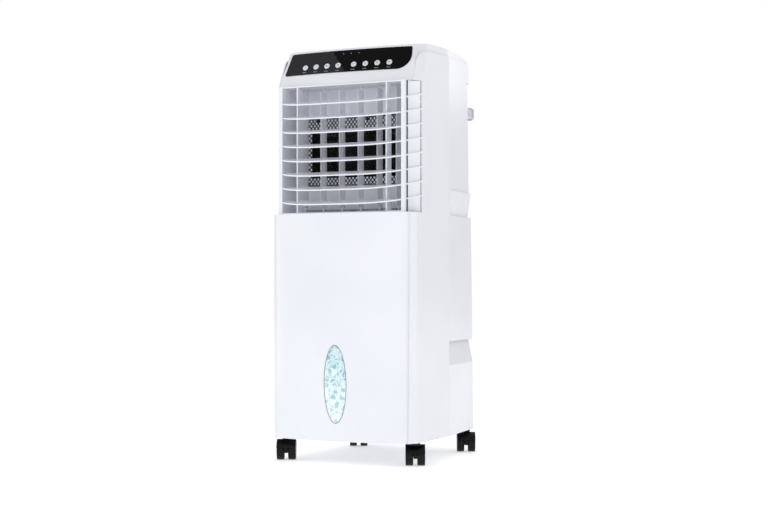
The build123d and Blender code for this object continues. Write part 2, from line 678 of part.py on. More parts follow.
# ---- Side panels --------------------------------------------------------------------
for side, name in ((1, "side_panel_right"), (-1, "side_panel_left")):
    with BuildPart() as side_panel:
        extrude(side_outline(0.0), amount=side * (HALF + 5))
        for low, high, edge in (
            (0.0, FRAME_TOP + GAP, FLANGE_INNER),
            (FRAME_TOP + GAP, TOTAL_HEIGHT, HEADER_HALF),
        ):
            near, far = sorted((side * edge, -side * (HALF + 5)))
            keep_out = between(near, far, FRONT - 5, FRONT + BODY_DEPTH + 5, low, high)
            add(keep_out, mode=Mode.SUBTRACT)
        for inset, mode in ((0.0, Mode.INTERSECT), (WALL, Mode.SUBTRACT)):
            margin = 1.0 if inset else 0.0
            with BuildPart(mode=Mode.PRIVATE) as bevelled:
                add(casing_block(BODY_BOTTOM - margin, TOTAL_HEIGHT + margin, inset, inset))
                split(bisect_by=bevel_plane(side, inset), keep=Keep.BOTTOM)
            add(bevelled.part, mode=mode)
        add(HOOD_ROOM, mode=Mode.SUBTRACT)
    save(side_panel.part, name)


def fascia_outline(clearance):
    """Outline of the control fascia seen from the front, cut back along +Y."""
    top = FASCIA_TOP - clearance
    low = FASCIA_BOTTOM + clearance
    upper = FASCIA_HALF_TOP - clearance
    lower = FASCIA_HALF_BOTTOM - clearance
    with BuildPart() as cut:
        with BuildSketch(Plane.XZ.offset(-FRONT + 30.0)) as face:
            with BuildLine():
                Polyline((-upper, top), (upper, top), (lower, low), (-lower, low), close=True)
            make_face()
            fillet(face.vertices().group_by(Axis.Y)[0].sort_by(Axis.X)[-1], FASCIA_ROUND)
            fillet(face.vertices().group_by(Axis.Y)[0].sort_by(Axis.X)[0], FASCIA_SMALL_ROUND)
            fillet(face.vertices().group_by(Axis.Y)[-1], FASCIA_SMALL_ROUND)
        extrude(amount=-110.0)
    return cut.part


BUTTON_NAMES = (
    "button_power", "button_speed", "button_mode", "button_timer",
    "button_swing", "button_cool", "button_pump", "button_light",
)
BUTTON_XS = [
    BUTTON_ROW_X + side * (BUTTON_MIDDLE_GAP / 2 + step * BUTTON_PITCH)
    for side, steps in ((-1, (3, 2, 1, 0)), (1, (0, 1, 2, 3)))
    for step in steps
]
BUTTON_REACH = max(abs(x) for x in BUTTON_XS)
LED_XS = [BUTTON_XS[3] + 6.0 + LED_PITCH * step for step in range(3)]


def slope_holes(radius, positions, height):
    """Round holes through the sloping front."""
    with Locations(*[slope_plane(x, height) for x in positions]):
        Cylinder(radius=radius, height=16.0, mode=Mode.SUBTRACT)


with BuildPart() as top_cover:
    add(HOOD_SKIN)
    add(HOOD_CORE, mode=Mode.SUBTRACT)
    with BuildPart(mode=Mode.PRIVATE) as skirt:
        add(casing_block(FRAME_TOP + GAP, SIDE_TOP + HOOD_LAP, 0.0, 0.0))
        core_inset = WALL + GAP + 1.0
        add(
            casing_block(FRAME_TOP - 5, TOTAL_HEIGHT, core_inset, core_inset),
            mode=Mode.SUBTRACT,
        )
        add(
            between(-HEADER_HALF + GAP, HEADER_HALF - GAP, 0, 300, FRAME_TOP, TOTAL_HEIGHT),
            mode=Mode.INTERSECT,
        )
    add(
        between(-200, 200, FRONT + 60.0, 300, HOOD_BOTTOM - 2, SIDE_TOP - HOOD_LAP),
        mode=Mode.SUBTRACT,
    )
    add(skirt.part)
    slope_holes(BUTTON_RADIUS + BUTTON_HOLE_FIT, BUTTON_XS, BUTTON_HEIGHT)
    slope_holes(LED_RADIUS + 0.1, LED_XS, LED_HEIGHT)
save(top_cover.part, "top_cover")

with BuildPart() as control_fascia:
    add(raked_prism(-FASCIA_PROUD, HALF, FASCIA_BOTTOM - 5, FASCIA_TOP + 5))
    add(
        raked_prism(-0.05, HALF, FASCIA_BOTTOM - 9, FASCIA_TOP + 9),
        mode=Mode.SUBTRACT,
    )
    add(fascia_outline(0.0), mode=Mode.INTERSECT)
    slope_holes(BUTTON_RADIUS + BUTTON_HOLE_FIT, BUTTON_XS, BUTTON_HEIGHT)
    slope_holes(LED_RADIUS + 0.1, LED_XS, LED_HEIGHT)
save(control_fascia.part, "control_fascia")

# ---- Push buttons, lights and control board -----------------------------------------
BOARD_PLANE = slope_plane(0.0, BUTTON_HEIGHT, BOARD_BEHIND)


def board_distance(x, height):
    """Distance from the sloping surface at x to the control board's front face."""
    point = Vector(x, hood_front(x, height), height)
    return (point - BOARD_PLANE.origin).dot(SLOPE_NORMAL)


for x, name in zip(BUTTON_XS, BUTTON_NAMES):
    reach = board_distance(x, BUTTON_HEIGHT) - SWITCH_HEIGHT - BUTTON_TRAVEL - 0.2
    with BuildPart() as button:
        with BuildSketch(slope_plane(x, BUTTON_HEIGHT, reach)):
            Circle(BUTTON_RADIUS - 2.2)
        extrude(amount=reach - 4.0)
        with BuildSketch(slope_plane(x, BUTTON_HEIGHT, 4.5)):
            Circle(BUTTON_RADIUS)
        extrude(amount=4.5 + FASCIA_PROUD + BUTTON_PROUD)
        rim = button.edges().filter_by(GeomType.CIRCLE).sort_by(lambda e: e.center().dot(SLOPE_NORMAL))
        fillet(rim[-1], 1.2)
    save(button.part, name)

with BuildPart() as indicator_lenses:
    for x in LED_XS:
        reach = board_distance(x, LED_HEIGHT) - 0.3
        with BuildSketch(slope_plane(x, LED_HEIGHT, reach)):
            Circle(LED_RADIUS)
        extrude(amount=reach + FASCIA_PROUD + 0.2)
save(indicator_lenses.part, "indicator_lenses")

with BuildPart() as control_board:
    with BuildSketch(BOARD_PLANE.offset(-BOARD_THICK)):
        with Locations((0, 10.0)):
            Rectangle(2 * BUTTON_REACH + 26.0, 46.0)
    extrude(amount=BOARD_THICK)
    for x in BUTTON_XS:
        with Locations(slope_plane(x, BUTTON_HEIGHT, board_distance(x, BUTTON_HEIGHT))):
            Box(6.0, 6.0, SWITCH_HEIGHT, align=(Align.CENTER, Align.CENTER, Align.MIN))
    for x in (-BUTTON_REACH - 8.0, 0.0, BUTTON_REACH + 8.0):
        room = board_distance(x, LED_HEIGHT + 1.0) - WALL - 2 * GAP
        with Locations(slope_plane(x, LED_HEIGHT + 1.0, board_distance(x, LED_HEIGHT + 1.0))):
            Cylinder(radius=2.5, height=room, align=(Align.CENTER, Align.CENTER, Align.MIN))
save(control_board.part, "control_board")

# ---- Outlet duct --------------------------------------------------------------------
VANE_XS = [(index - (VANE_COUNT - 1) / 2) * VANE_PITCH for index in range(VANE_COUNT)]
VANE_Y = FRONT + VANE_PIVOT

with BuildPart() as outlet_duct:
    add(
        between(
            -DUCT_HALF - WALL, DUCT_HALF + WALL, FRONT + DUCT_FRONT + GAP,
            FRONT + DUCT_BACK + WALL, GRILLE_LOW, GRILLE_HIGH,
        )
    )
    add(
        between(
            -DUCT_HALF, DUCT_HALF, FRONT - 5.0, FRONT + DUCT_BACK,
            GRILLE_LOW + WALL, GRILLE_HIGH - WALL,
        ),
        mode=Mode.SUBTRACT,
    )
    add(
        between(
            -OUTLET_HALF, OUTLET_HALF, FRONT, FRONT + DUCT_BACK + 10, OUTLET_LOW, OUTLET_HIGH
        ),
        mode=Mode.SUBTRACT,
    )
    with Locations(*[(x, VANE_Y, (GRILLE_LOW + GRILLE_HIGH) / 2) for x in (*VANE_XS, 0.0)]):
        Cylinder(
            radius=PIN_RADIUS + PIN_FIT, height=GRILLE_HIGH - GRILLE_LOW + 10, mode=Mode.SUBTRACT
        )
    for side in (1, -1):
        x_low, x_high = sorted((side * (DUCT_HALF + WALL), side * (HALF - WALL - GAP)))
        for low in (GRILLE_LOW + 20.0, GRILLE_HIGH - 40.0):
            add(between(x_low, x_high, VANE_Y - 6, VANE_Y + 6, low, low + WALL))
save(outlet_duct.part, "outlet_duct")

# ---- Swing vanes, link bar, crank and swing motor -----------------------------------
for number, x in enumerate(VANE_XS, start=1):
    with BuildPart() as vane:
        with BuildSketch(Plane.XY.offset(VANE_LOW)):
            with Locations((x, VANE_Y)):
                SlotOverall(VANE_CHORD, VANE_THICK, rotation=90)
        extrude(amount=VANE_HIGH - VANE_LOW)
        floor_low = GRILLE_LOW + 0.2
        for y, low, high in (
            (VANE_Y, floor_low, GRILLE_HIGH - 0.2),
            (VANE_Y + VANE_ARM, LINK_LOW, VANE_LOW + 8.0),
        ):
            with BuildSketch(Plane.XY.offset(low)):
                with Locations((x, y)):
                    Circle(PIN_RADIUS)
            extrude(amount=high - low)
    save(vane.part, f"swing_vane_{number}")

with BuildPart() as link_bar:
    with BuildSketch(Plane.XY.offset(LINK_LOW)):
        with Locations((0, VANE_Y + VANE_ARM)):
            SlotCenterToCenter(VANE_XS[-1] - VANE_XS[0] + 2.0, 7.0)
        with Locations(*[(x, VANE_Y + VANE_ARM) for x in (*VANE_XS, 0.0)]):
            Circle(PIN_RADIUS + PIN_FIT, mode=Mode.SUBTRACT)
    extrude(amount=LINK_HIGH - LINK_LOW)
save(link_bar.part, "vane_link_bar")

CRANK_LOW = GRILLE_LOW + WALL + 0.4
with BuildPart() as swing_crank:
    with BuildSketch(Plane.XY.offset(CRANK_LOW)):
        with Locations((0, VANE_Y + VANE_ARM / 2)):
            SlotCenterToCenter(VANE_ARM, 7.0, rotation=90)
    extrude(amount=LINK_LOW - 0.4 - CRANK_LOW)
    for y, low, high in (
        (VANE_Y, GRILLE_LOW - 8.0, CRANK_LOW + 1.0),
        (VANE_Y + VANE_ARM, CRANK_LOW, LINK_HIGH),
    ):
        with BuildSketch(Plane.XY.offset(low)):
            with Locations((0, y)):
                Circle(PIN_RADIUS)
        extrude(amount=high - low)
save(swing_crank.part, "swing_crank")

with BuildPart() as swing_motor:
    motor_top = GRILLE_LOW - GAP
    with BuildSketch(Plane.XY.offset(motor_top - 18.0)):
        with Locations((0, VANE_Y)):
            Circle(14.0)
    extrude(amount=18.0)
    with BuildSketch(Plane.XY.offset(motor_top - 2.0)):
        with Locations((0, VANE_Y)):
            SlotCenterToCenter(35.0, 7.0)
    extrude(amount=2.0)
    with BuildSketch(Plane.XY.offset(motor_top - 9.0)):
        with Locations((0, VANE_Y)):
            Circle(PIN_RADIUS + PIN_FIT)
    extrude(amount=9.0, mode=Mode.SUBTRACT)
save(swing_motor.part, "swing_motor")

# ---- Guard and its screws -----------------------------------------------------------
GUARD_Y = FRONT + DUCT_BACK - 0.2 - GUARD_THICK
SCREW_HIGH = GUARD_HIGH - 7.0
SCREW_LOW = GUARD_LOW + 7.0
GUARD_SCREWS = (
    (-85.0, SCREW_HIGH), (26.0, SCREW_HIGH), (103.0, SCREW_HIGH),
    (-108.0, SCREW_LOW), (108.0, SCREW_LOW),
)

with BuildPart() as mesh_guard:
    with BuildSketch(Plane.XZ.offset(-GUARD_Y - GUARD_THICK)) as mesh_face:
        with Locations((0, (GUARD_LOW + GUARD_HIGH) / 2)):
            Rectangle(2 * GUARD_HALF, GUARD_HIGH - GUARD_LOW)
        columns = int((2 * GUARD_HALF - 10.0) / DIAMOND_X)
        rows = int((GUARD_HIGH - GUARD_LOW - 8.0) / DIAMOND_Z)
        with Locations((0, (GUARD_LOW + GUARD_HIGH) / 2)):
            for grid in ((columns, rows), (columns - 1, rows - 1)):
                with GridLocations(DIAMOND_X, DIAMOND_Z, *grid):
                    wide = DIAMOND_X / 2 - 1.6
                    tall = DIAMOND_Z / 2 - 1.1
                    Polygon((wide, 0), (0, tall), (-wide, 0), (0, -tall), mode=Mode.SUBTRACT)
        for x, z in GUARD_SCREWS:
            with Locations((x, z)):
                Circle(SCREW_HEAD + 1.5)
    extrude(amount=GUARD_THICK)
save(mesh_guard.part, "mesh_guard")

with BuildPart() as guard_screws:
    for x, z in GUARD_SCREWS:
        with BuildSketch(Plane.XZ.offset(-GUARD_Y + 0.2)):
            with Locations((x, z)):
                Circle(SCREW_HEAD)
        extrude(amount=1.6)
save(guard_screws.part, "guard_screws")

# ---- Blower -------------------------------------------------------------------------


def scroll_profile(shrink):
    """Spiral side view of the blower housing, its walls moved inward."""
    y0, z0 = FAN_CENTRE[1], FAN_CENTRE[2]
    mouth = FRONT + DUCT_BACK + WALL + GAP
    spiral = []
    for step in range(10):
        turn = step / 9
        angle = math.radians(-90.0 + 250.0 * turn)
        radius = SCROLL_LARGE + (SCROLL_SMALL - SCROLL_LARGE) * turn - shrink
        spiral.append((y0 + radius * math.cos(angle), z0 + radius * math.sin(angle)))
    reach = mouth - 5.0 if shrink else mouth
    tongue = z0 + OUTLET_HIGH - FAN_HEIGHT - shrink
    with BuildSketch(Plane.YZ) as profile:
        with BuildLine():
            Spline(*spiral, tangents=((1, 0), (-0.34, -0.94)))
            Polyline(
                spiral[-1], (y0 - SCROLL_SMALL + shrink, tongue), (reach, tongue),
                (reach, z0 - SCROLL_LARGE + shrink), spiral[0],
            )
        make_face()
    return profile.sketch


with BuildPart() as blower_housing:
    for shrink, half, mode in (
        (0.0, OUTLET_HALF + WALL, Mode.ADD), (WALL, OUTLET_HALF, Mode.SUBTRACT)
    ):
        extrude(scroll_profile(shrink), amount=half, both=True, mode=mode)
    with Locations(Plane(origin=FAN_CENTRE, z_dir=(1, 0, 0))):
        Cylinder(radius=FAN_INNER, height=2 * HALF, mode=Mode.SUBTRACT)
save(blower_housing.part, "blower_housing")

FAN_PLANE = Plane(origin=FAN_CENTRE, x_dir=(0, 1, 0), z_dir=(1, 0, 0))
with BuildPart() as blower_wheel:
    for low, thick in ((-FAN_HALF, 3.0), (FAN_HALF - 3.0, 3.0)):
        with BuildSketch(FAN_PLANE.offset(low)):
            Circle(FAN_RADIUS)
            Circle(FAN_INNER, mode=Mode.SUBTRACT)
        extrude(amount=thick)
    with BuildSketch(FAN_PLANE.offset(-1.5)):
        Circle(FAN_RADIUS)
    extrude(amount=3.0)
    with BuildSketch(FAN_PLANE.offset(-12.0)):
        Circle(13.0)
    extrude(amount=24.0)
    with BuildSketch(FAN_PLANE.offset(-FAN_HALF)):
        with PolarLocations((FAN_RADIUS + FAN_INNER) / 2, BLADE_COUNT):
            Rectangle(FAN_RADIUS - FAN_INNER - 1.0, 1.6, rotation=28)
    extrude(amount=2 * FAN_HALF)
    with BuildSketch(FAN_PLANE.offset(-15.0)):
        Circle(SHAFT_RADIUS)
    extrude(amount=30.0, mode=Mode.SUBTRACT)
save(blower_wheel.part, "blower_wheel")

MOTOR_START = OUTLET_HALF + WALL + 5.0
with BuildPart() as motor_shaft:
    with BuildSketch(FAN_PLANE.offset(-13.0)):
        Circle(SHAFT_RADIUS)
    extrude(amount=13.0 + MOTOR_START + MOTOR_LENGTH - 6.0)
save(motor_shaft.part, "motor_shaft")

with BuildPart() as fan_motor:
    with BuildSketch(FAN_PLANE.offset(MOTOR_START)):
        Circle(MOTOR_RADIUS)
    extrude(amount=MOTOR_LENGTH)
    fillet(fan_motor.edges().filter_by(GeomType.CIRCLE), 4.0)
    with BuildSketch(FAN_PLANE.offset(MOTOR_START)):
        Circle(SHAFT_RADIUS + PIN_FIT)
    extrude(amount=MOTOR_LENGTH - 5.0, mode=Mode.SUBTRACT)
save(fan_motor.part, "fan_motor")

with BuildPart() as motor_bracket:
    with BuildSketch(FAN_PLANE.offset(OUTLET_HALF + WALL + GAP)):
        Circle(24.0)
        with PolarLocations(0.0, 3, start_angle=90.0):
            Rectangle(FAN_INNER + 14.0, 12.0, align=(Align.MIN, Align.CENTER))
        Circle(SHAFT_RADIUS + 3.0, mode=Mode.SUBTRACT)
    extrude(amount=MOTOR_START - OUTLET_HALF - WALL - 2 * GAP)
save(motor_bracket.part, "motor_bracket")

# ---- Water side ---------------------------------------------------------------------
RISER_Y = FRONT + RISER_DEPTH
TROUGH_FRONT = FRONT + PAD_FRONT - 2.0
TROUGH_BACK = TROUGH_FRONT + PAD_THICK + 2.0
TROUGH_HALF = half_width(TROUGH_BACK - FRONT) - WALL - 2 * GAP

with BuildPart() as water_pump:
    with Locations((RISER_X, RISER_Y, TUB_FLOOR + WALL + GAP)):
        Box(44.0, 44.0, 46.0, align=(Align.CENTER, Align.CENTER, Align.MIN))
    fillet(water_pump.edges().filter_by(Axis.Z), 6.0)
    with BuildSketch(Plane.XY.offset(TUB_FLOOR + WALL + GAP + 40.0)):
        with Locations((RISER_X, RISER_Y)):
            Circle(RISER_RADIUS)
    extrude(amount=PUMP_TOP - TUB_FLOOR - WALL - GAP - 40.0)
    with BuildSketch(Plane.XY.offset(TUB_FLOOR + WALL + GAP + 30.0)):
        with Locations((RISER_X, RISER_Y)):
            Circle(RISER_RADIUS - 1.8)
    extrude(amount=PUMP_TOP, mode=Mode.SUBTRACT)
save(water_pump.part, "water_pump")

TROUGH_PORT = TROUGH_LOW + 7.0
with BuildPart() as riser_tube:
    with BuildLine() as route:
        FilletPolyline(
            (RISER_X, RISER_Y, PUMP_TOP + GAP),
            (RISER_X, RISER_Y, TROUGH_PORT),
            (RISER_X, TROUGH_FRONT - GAP, TROUGH_PORT),
            radius=RISER_BEND,
        )
    with BuildSketch(Plane.XY.offset(PUMP_TOP + GAP)):
        with Locations((RISER_X, RISER_Y)):
            Circle(RISER_RADIUS)
            Circle(RISER_RADIUS - 1.2, mode=Mode.SUBTRACT)
    sweep(path=route.wires()[0])
save(riser_tube.part, "riser_tube")

with BuildPart() as water_trough:
    add(between(-TROUGH_HALF, TROUGH_HALF, TROUGH_FRONT, TROUGH_BACK, TROUGH_LOW, TROUGH_HIGH))
    add(
        between(
            -TROUGH_HALF + WALL, TROUGH_HALF - WALL, TROUGH_FRONT + WALL, TROUGH_BACK - WALL,
            TROUGH_LOW + WALL, TROUGH_HIGH + 1,
        ),
        mode=Mode.SUBTRACT,
    )
    with Locations((0, (TROUGH_FRONT + TROUGH_BACK) / 2, TROUGH_LOW)):
        with GridLocations(20.0, 1.0, 11, 1):
            Cylinder(radius=1.5, height=10.0, mode=Mode.SUBTRACT)
    with Locations(Plane(origin=(RISER_X, TROUGH_FRONT, TROUGH_PORT), z_dir=(0, 1, 0))):
        Cylinder(radius=RISER_RADIUS - 1.2, height=12.0, mode=Mode.SUBTRACT)
save(water_trough.part, "water_trough")

# ---- Power board and cord gland -----------------------------------------------------
with BuildPart() as power_board:
    board_y = FRONT + 40.0
    add(between(-60, 60, board_y, board_y + 70.0, GRILLE_HIGH + 5.0, GRILLE_HIGH + 6.6))
    with Locations(*[(x, board_y + 10.0, GRILLE_HIGH + GAP) for x in (-54, 54)]):
        Cylinder(radius=3.0, height=5.0, align=(Align.CENTER, Align.CENTER, Align.MIN))
    for x, wide, tall in ((-40.0, 26.0, 16.0), (-5.0, 18.0, 10.0), (30.0, 30.0, 13.0)):
        with Locations((x, board_y + 38.0, GRILLE_HIGH + 6.0)):
            Box(wide, 24.0, tall, align=(Align.CENTER, Align.CENTER, Align.MIN))
save(power_board.part, "power_board")

GLAND_PLANE = Plane(
    origin=(GLAND_X, rear_y(GLAND_Z), GLAND_Z), x_dir=(1, 0, 0), z_dir=(0, 1, 0)
)
with BuildPart() as cord_gland:
    with BuildSketch(GLAND_PLANE.offset(-8.0)):
        Circle(8.0)
    extrude(amount=9.0)
    with BuildSketch(GLAND_PLANE.offset(0.6)):
        Circle(10.5)
    extrude(amount=3.0)
    with BuildSketch(GLAND_PLANE.offset(-10.0)):
        Circle(GLAND_BORE)
    extrude(amount=20.0, mode=Mode.SUBTRACT)
save(cord_gland.part, "cord_gland")

# ---- Casters ------------------------------------------------------------------------
AXLE_Z = WHEEL_RADIUS
HUB_TOP = BODY_BOTTOM + 1.0 - GAP
FENDER_INNER = WHEEL_RADIUS + 1.2
FENDER_OUTER = FENDER_INNER + 2.0
FENDER_SWEEP = 74.0  # degrees each side of upright
WHEEL_OUTER = WHEEL_SPACE / 2 + WHEEL_WIDTH

with BuildPart() as caster_stems:
    for x, y, _ in CASTERS.values():
        with Locations((x, y, HUB_TOP - 6.0)):
            Cylinder(
                radius=STEM_RADIUS, height=6.0 + GAP + 5.0,
                align=(Align.CENTER, Align.CENTER, Align.MIN),
            )
save(caster_stems.part, "caster_stems")

for name, (x, y, turned) in CASTERS.items():
    yaw = math.radians(CASTER_YAW + turned)
    trail = Vector(math.sin(yaw), -math.cos(yaw), 0) * CASTER_TRAIL
    across = Vector(math.cos(yaw), math.sin(yaw), 0)
    centre = Vector(x, y, AXLE_Z) + trail
    axle_plane = Plane(origin=centre, x_dir=(0, 0, 1), z_dir=across)

    with BuildPart() as hood:
        with BuildSketch(axle_plane.offset(-WHEEL_SPACE / 2 + 0.6)):
            Circle(FENDER_INNER)
            with Locations((-WHEEL_RADIUS / 2 - 4.0, 0)):
                Rectangle(WHEEL_RADIUS, 3 * WHEEL_RADIUS, mode=Mode.SUBTRACT)
        extrude(amount=WHEEL_SPACE - 1.2)
        with BuildSketch(axle_plane.offset(-WHEEL_OUTER)):
            with BuildLine():
                CenterArc((0, 0), FENDER_OUTER, -FENDER_SWEEP, 2 * FENDER_SWEEP)
                CenterArc((0, 0), FENDER_INNER, -FENDER_SWEEP, 2 * FENDER_SWEEP)
                for side in (1, -1):
                    edge = math.radians(side * FENDER_SWEEP)
                    direction = Vector(math.cos(edge), math.sin(edge))
                    Line(direction * FENDER_INNER, direction * FENDER_OUTER)
            make_face()
        extrude(amount=2 * WHEEL_OUTER)
        with BuildSketch(Plane.XY.offset(AXLE_Z + FENDER_INNER + 0.4)):
            with Locations((x, y)):
                Circle(9.0)
        extrude(amount=HUB_TOP - AXLE_Z - FENDER_INNER - 0.4)
        with BuildSketch(Plane.XY.offset(HUB_TOP - 6.3)):
            with Locations((x, y)):
                Circle(STEM_RADIUS + PIN_FIT)
        extrude(amount=10.0, mode=Mode.SUBTRACT)
        with BuildSketch(axle_plane.offset(-WHEEL_SPACE)):
            Circle(AXLE_RADIUS + PIN_FIT)
        extrude(amount=2 * WHEEL_SPACE, mode=Mode.SUBTRACT)
    save(hood.part, f"caster_hood_{name}")

    with BuildPart() as wheels:
        for start in (-WHEEL_OUTER, WHEEL_SPACE / 2):
            with BuildSketch(axle_plane.offset(start)):
                Circle(WHEEL_RADIUS)
            extrude(amount=WHEEL_WIDTH)
        fillet(wheels.edges().filter_by(GeomType.CIRCLE), 2.0)
        with BuildSketch(axle_plane.offset(-WHEEL_OUTER + 2.0)):
            Circle(AXLE_RADIUS + 0.02)
        extrude(amount=2 * WHEEL_OUTER - 4.0, mode=Mode.SUBTRACT)
    save(wheels.part, f"caster_wheels_{name}")

    with BuildPart() as axle:
        with BuildSketch(axle_plane.offset(-WHEEL_OUTER + 2.1)):
            Circle(AXLE_RADIUS)
        extrude(amount=2 * WHEEL_OUTER - 4.2)
    save(axle.part, f"caster_axle_{name}")
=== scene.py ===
"""Looks of a tower evaporative cooler: finishes, fine meshes, printed marks and a small studio."""

import json
import logging
import math
from collections.abc import Iterator, Sequence
from dataclasses import dataclass, field
from enum import Enum

import bmesh
import bpy
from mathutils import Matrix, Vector
from mathutils.bvhtree import BVHTree


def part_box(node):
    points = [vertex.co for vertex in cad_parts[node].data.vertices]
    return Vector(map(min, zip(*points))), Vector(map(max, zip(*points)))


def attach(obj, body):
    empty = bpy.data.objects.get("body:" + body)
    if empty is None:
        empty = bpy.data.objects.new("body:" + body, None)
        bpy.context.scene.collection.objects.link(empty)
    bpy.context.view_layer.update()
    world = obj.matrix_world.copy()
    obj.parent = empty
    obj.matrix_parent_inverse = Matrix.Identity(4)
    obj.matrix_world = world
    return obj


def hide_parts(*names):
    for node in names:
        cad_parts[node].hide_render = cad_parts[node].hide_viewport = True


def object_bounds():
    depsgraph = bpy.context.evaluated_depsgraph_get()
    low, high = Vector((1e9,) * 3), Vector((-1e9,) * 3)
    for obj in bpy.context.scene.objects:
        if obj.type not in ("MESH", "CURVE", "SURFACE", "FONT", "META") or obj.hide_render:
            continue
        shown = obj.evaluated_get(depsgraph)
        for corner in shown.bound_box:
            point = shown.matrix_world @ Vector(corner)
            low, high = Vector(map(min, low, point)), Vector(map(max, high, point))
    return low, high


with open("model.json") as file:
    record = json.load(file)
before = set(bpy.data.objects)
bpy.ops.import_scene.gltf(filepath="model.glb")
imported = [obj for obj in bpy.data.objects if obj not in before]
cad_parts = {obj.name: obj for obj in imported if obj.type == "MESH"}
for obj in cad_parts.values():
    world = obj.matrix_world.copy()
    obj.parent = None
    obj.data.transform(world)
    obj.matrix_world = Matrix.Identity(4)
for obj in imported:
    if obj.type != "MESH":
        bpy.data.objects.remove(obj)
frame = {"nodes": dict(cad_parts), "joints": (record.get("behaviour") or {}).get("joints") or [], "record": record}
CAD_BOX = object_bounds()

LOG = logging.getLogger("cooler")
MM = 0.001
MIX_FACTOR, MIX_A, MIX_B, MIX_RESULT = 0, 6, 7, 2

Point = tuple[float, float, float]
Flat = tuple[float, float]


# ---- Colours and nodes --------------------------------------------------------------


def linear(hex_colour: str) -> tuple[float, float, float, float]:
    """Turns an sRGB hex colour into linear light.

    Args:
        hex_colour: six hex digits, with or without a leading hash.

    Returns:
        Red, green, blue and an alpha of one.
    """
    digits = hex_colour.lstrip("#")
    parts = [int(digits[i : i + 2], 16) / 255 for i in (0, 2, 4)]
    red, green, blue = (
        c / 12.92 if c <= 0.04045 else ((c + 0.055) / 1.055) ** 2.4 for c in parts
    )
    return red, green, blue, 1.0


def per_mm(size_mm: float) -> float:
    """Texture scale, in repeats per metre, of a pattern that repeats each size_mm."""
    return 1000.0 / size_mm


def add_node(
    tree: bpy.types.NodeTree,
    kind: str,
    settings: dict[str, object] | None = None,
    values: dict[str | int, object] | None = None,
    links: dict[str | int, bpy.types.NodeSocket] | None = None,
) -> bpy.types.Node:
    """Adds one shader node with its settings, its constants and its links.

    Args:
        tree: node tree that gets the node.
        kind: the node's type name.
        settings: node properties by name.
        values: constants by input socket.
        links: output sockets by the input socket that they feed.

    Returns:
        The new node.
    """
    node = tree.nodes.new(kind)
    for name, value in (settings or {}).items():
        setattr(node, name, value)
    for key, value in (values or {}).items():
        node.inputs[key].default_value = value
    for key, socket in (links or {}).items():
        tree.links.new(socket, node.inputs[key])
    return node


@dataclass(frozen=True)
class Finish:
    """One surface finish: its name, base colour and typical constants."""

    name: str
    colour: str
    roughness: float
    ior: float = 1.5
    metallic: float = 0.0

    def material(self) -> bpy.types.Material:
        """Makes this finish's node material once.

        Returns:
            The Blender material, new or made before.
        """
        found = bpy.data.materials.get(self.name)
        if found:
            return found
        made = bpy.data.materials.new(self.name)
        made.use_nodes = True
        tree = made.node_tree
        shader = tree.nodes["Principled BSDF"]
        shader.inputs["Base Color"].default_value = linear(self.colour)
        shader.inputs["Roughness"].default_value = self.roughness
        shader.inputs["Metallic"].default_value = self.metallic
        if not self.metallic:
            shader.inputs["IOR"].default_value = self.ior
        place = add_node(tree, "ShaderNodeTexCoord").outputs["Object"]
        self.shade(tree, shader, place)
        return made

    def shade(
        self, tree: bpy.types.NodeTree, shader: bpy.types.Node, place: bpy.types.NodeSocket
    ) -> None:
        """Adds the finish's own pattern.

        Args:
            tree: the material's node tree.
            shader: its principled shader.
            place: object coordinates, in metres.
        """
        raise NotImplementedError(self.name)


@dataclass(frozen=True)
class MouldedPlastic(Finish):
    """Thermoplastic shot into a steel tool: an even colour with a faint wave from the tool."""

    tone: str = "e9ebf2"
    grain_mm: float = 2.2
    grain_depth_mm: float = 0.006
    flow_mm: float = 160.0
    rough_spread: float = 0.03

    def shade(
        self, tree: bpy.types.NodeTree, shader: bpy.types.Node, place: bpy.types.NodeSocket
    ) -> None:
        """Adds flow shade, a gloss that wanders and the tool's fine wave.

        Args:
            tree: the material's node tree.
            shader: its principled shader.
            place: object coordinates, in metres.
        """
        flow = add_node(
            tree, "ShaderNodeTexNoise", values={"Scale": per_mm(self.flow_mm), "Detail": 2.0},
            links={"Vector": place},
        )
        blend = add_node(
            tree, "ShaderNodeMapRange", {"interpolation_type": "SMOOTHSTEP"},
            {"From Min": 0.2, "From Max": 0.8}, {"Value": flow.outputs["Fac"]},
        )
        tone = add_node(
            tree, "ShaderNodeMix", {"data_type": "RGBA"},
            {MIX_A: linear(self.colour), MIX_B: linear(self.tone)},
            {MIX_FACTOR: blend.outputs["Result"]},
        )
        tree.links.new(tone.outputs[MIX_RESULT], shader.inputs["Base Color"])
        gloss = add_node(
            tree, "ShaderNodeMapRange", {"interpolation_type": "SMOOTHSTEP"},
            {
                "From Min": 0.2, "From Max": 0.8,
                "To Min": self.roughness - self.rough_spread,
                "To Max": self.roughness + self.rough_spread,
            },
            {"Value": flow.outputs["Fac"]},
        )
        tree.links.new(gloss.outputs["Result"], shader.inputs["Roughness"])
        grain = add_node(
            tree, "ShaderNodeTexNoise", values={"Scale": per_mm(self.grain_mm), "Detail": 1.0},
            links={"Vector": place},
        )
        bump = add_node(
            tree, "ShaderNodeBump",
            values={"Strength": 0.6, "Distance": self.grain_depth_mm * MM},
            links={"Height": grain.outputs["Fac"]},
        )
        tree.links.new(bump.outputs["Normal"], shader.inputs["Normal"])


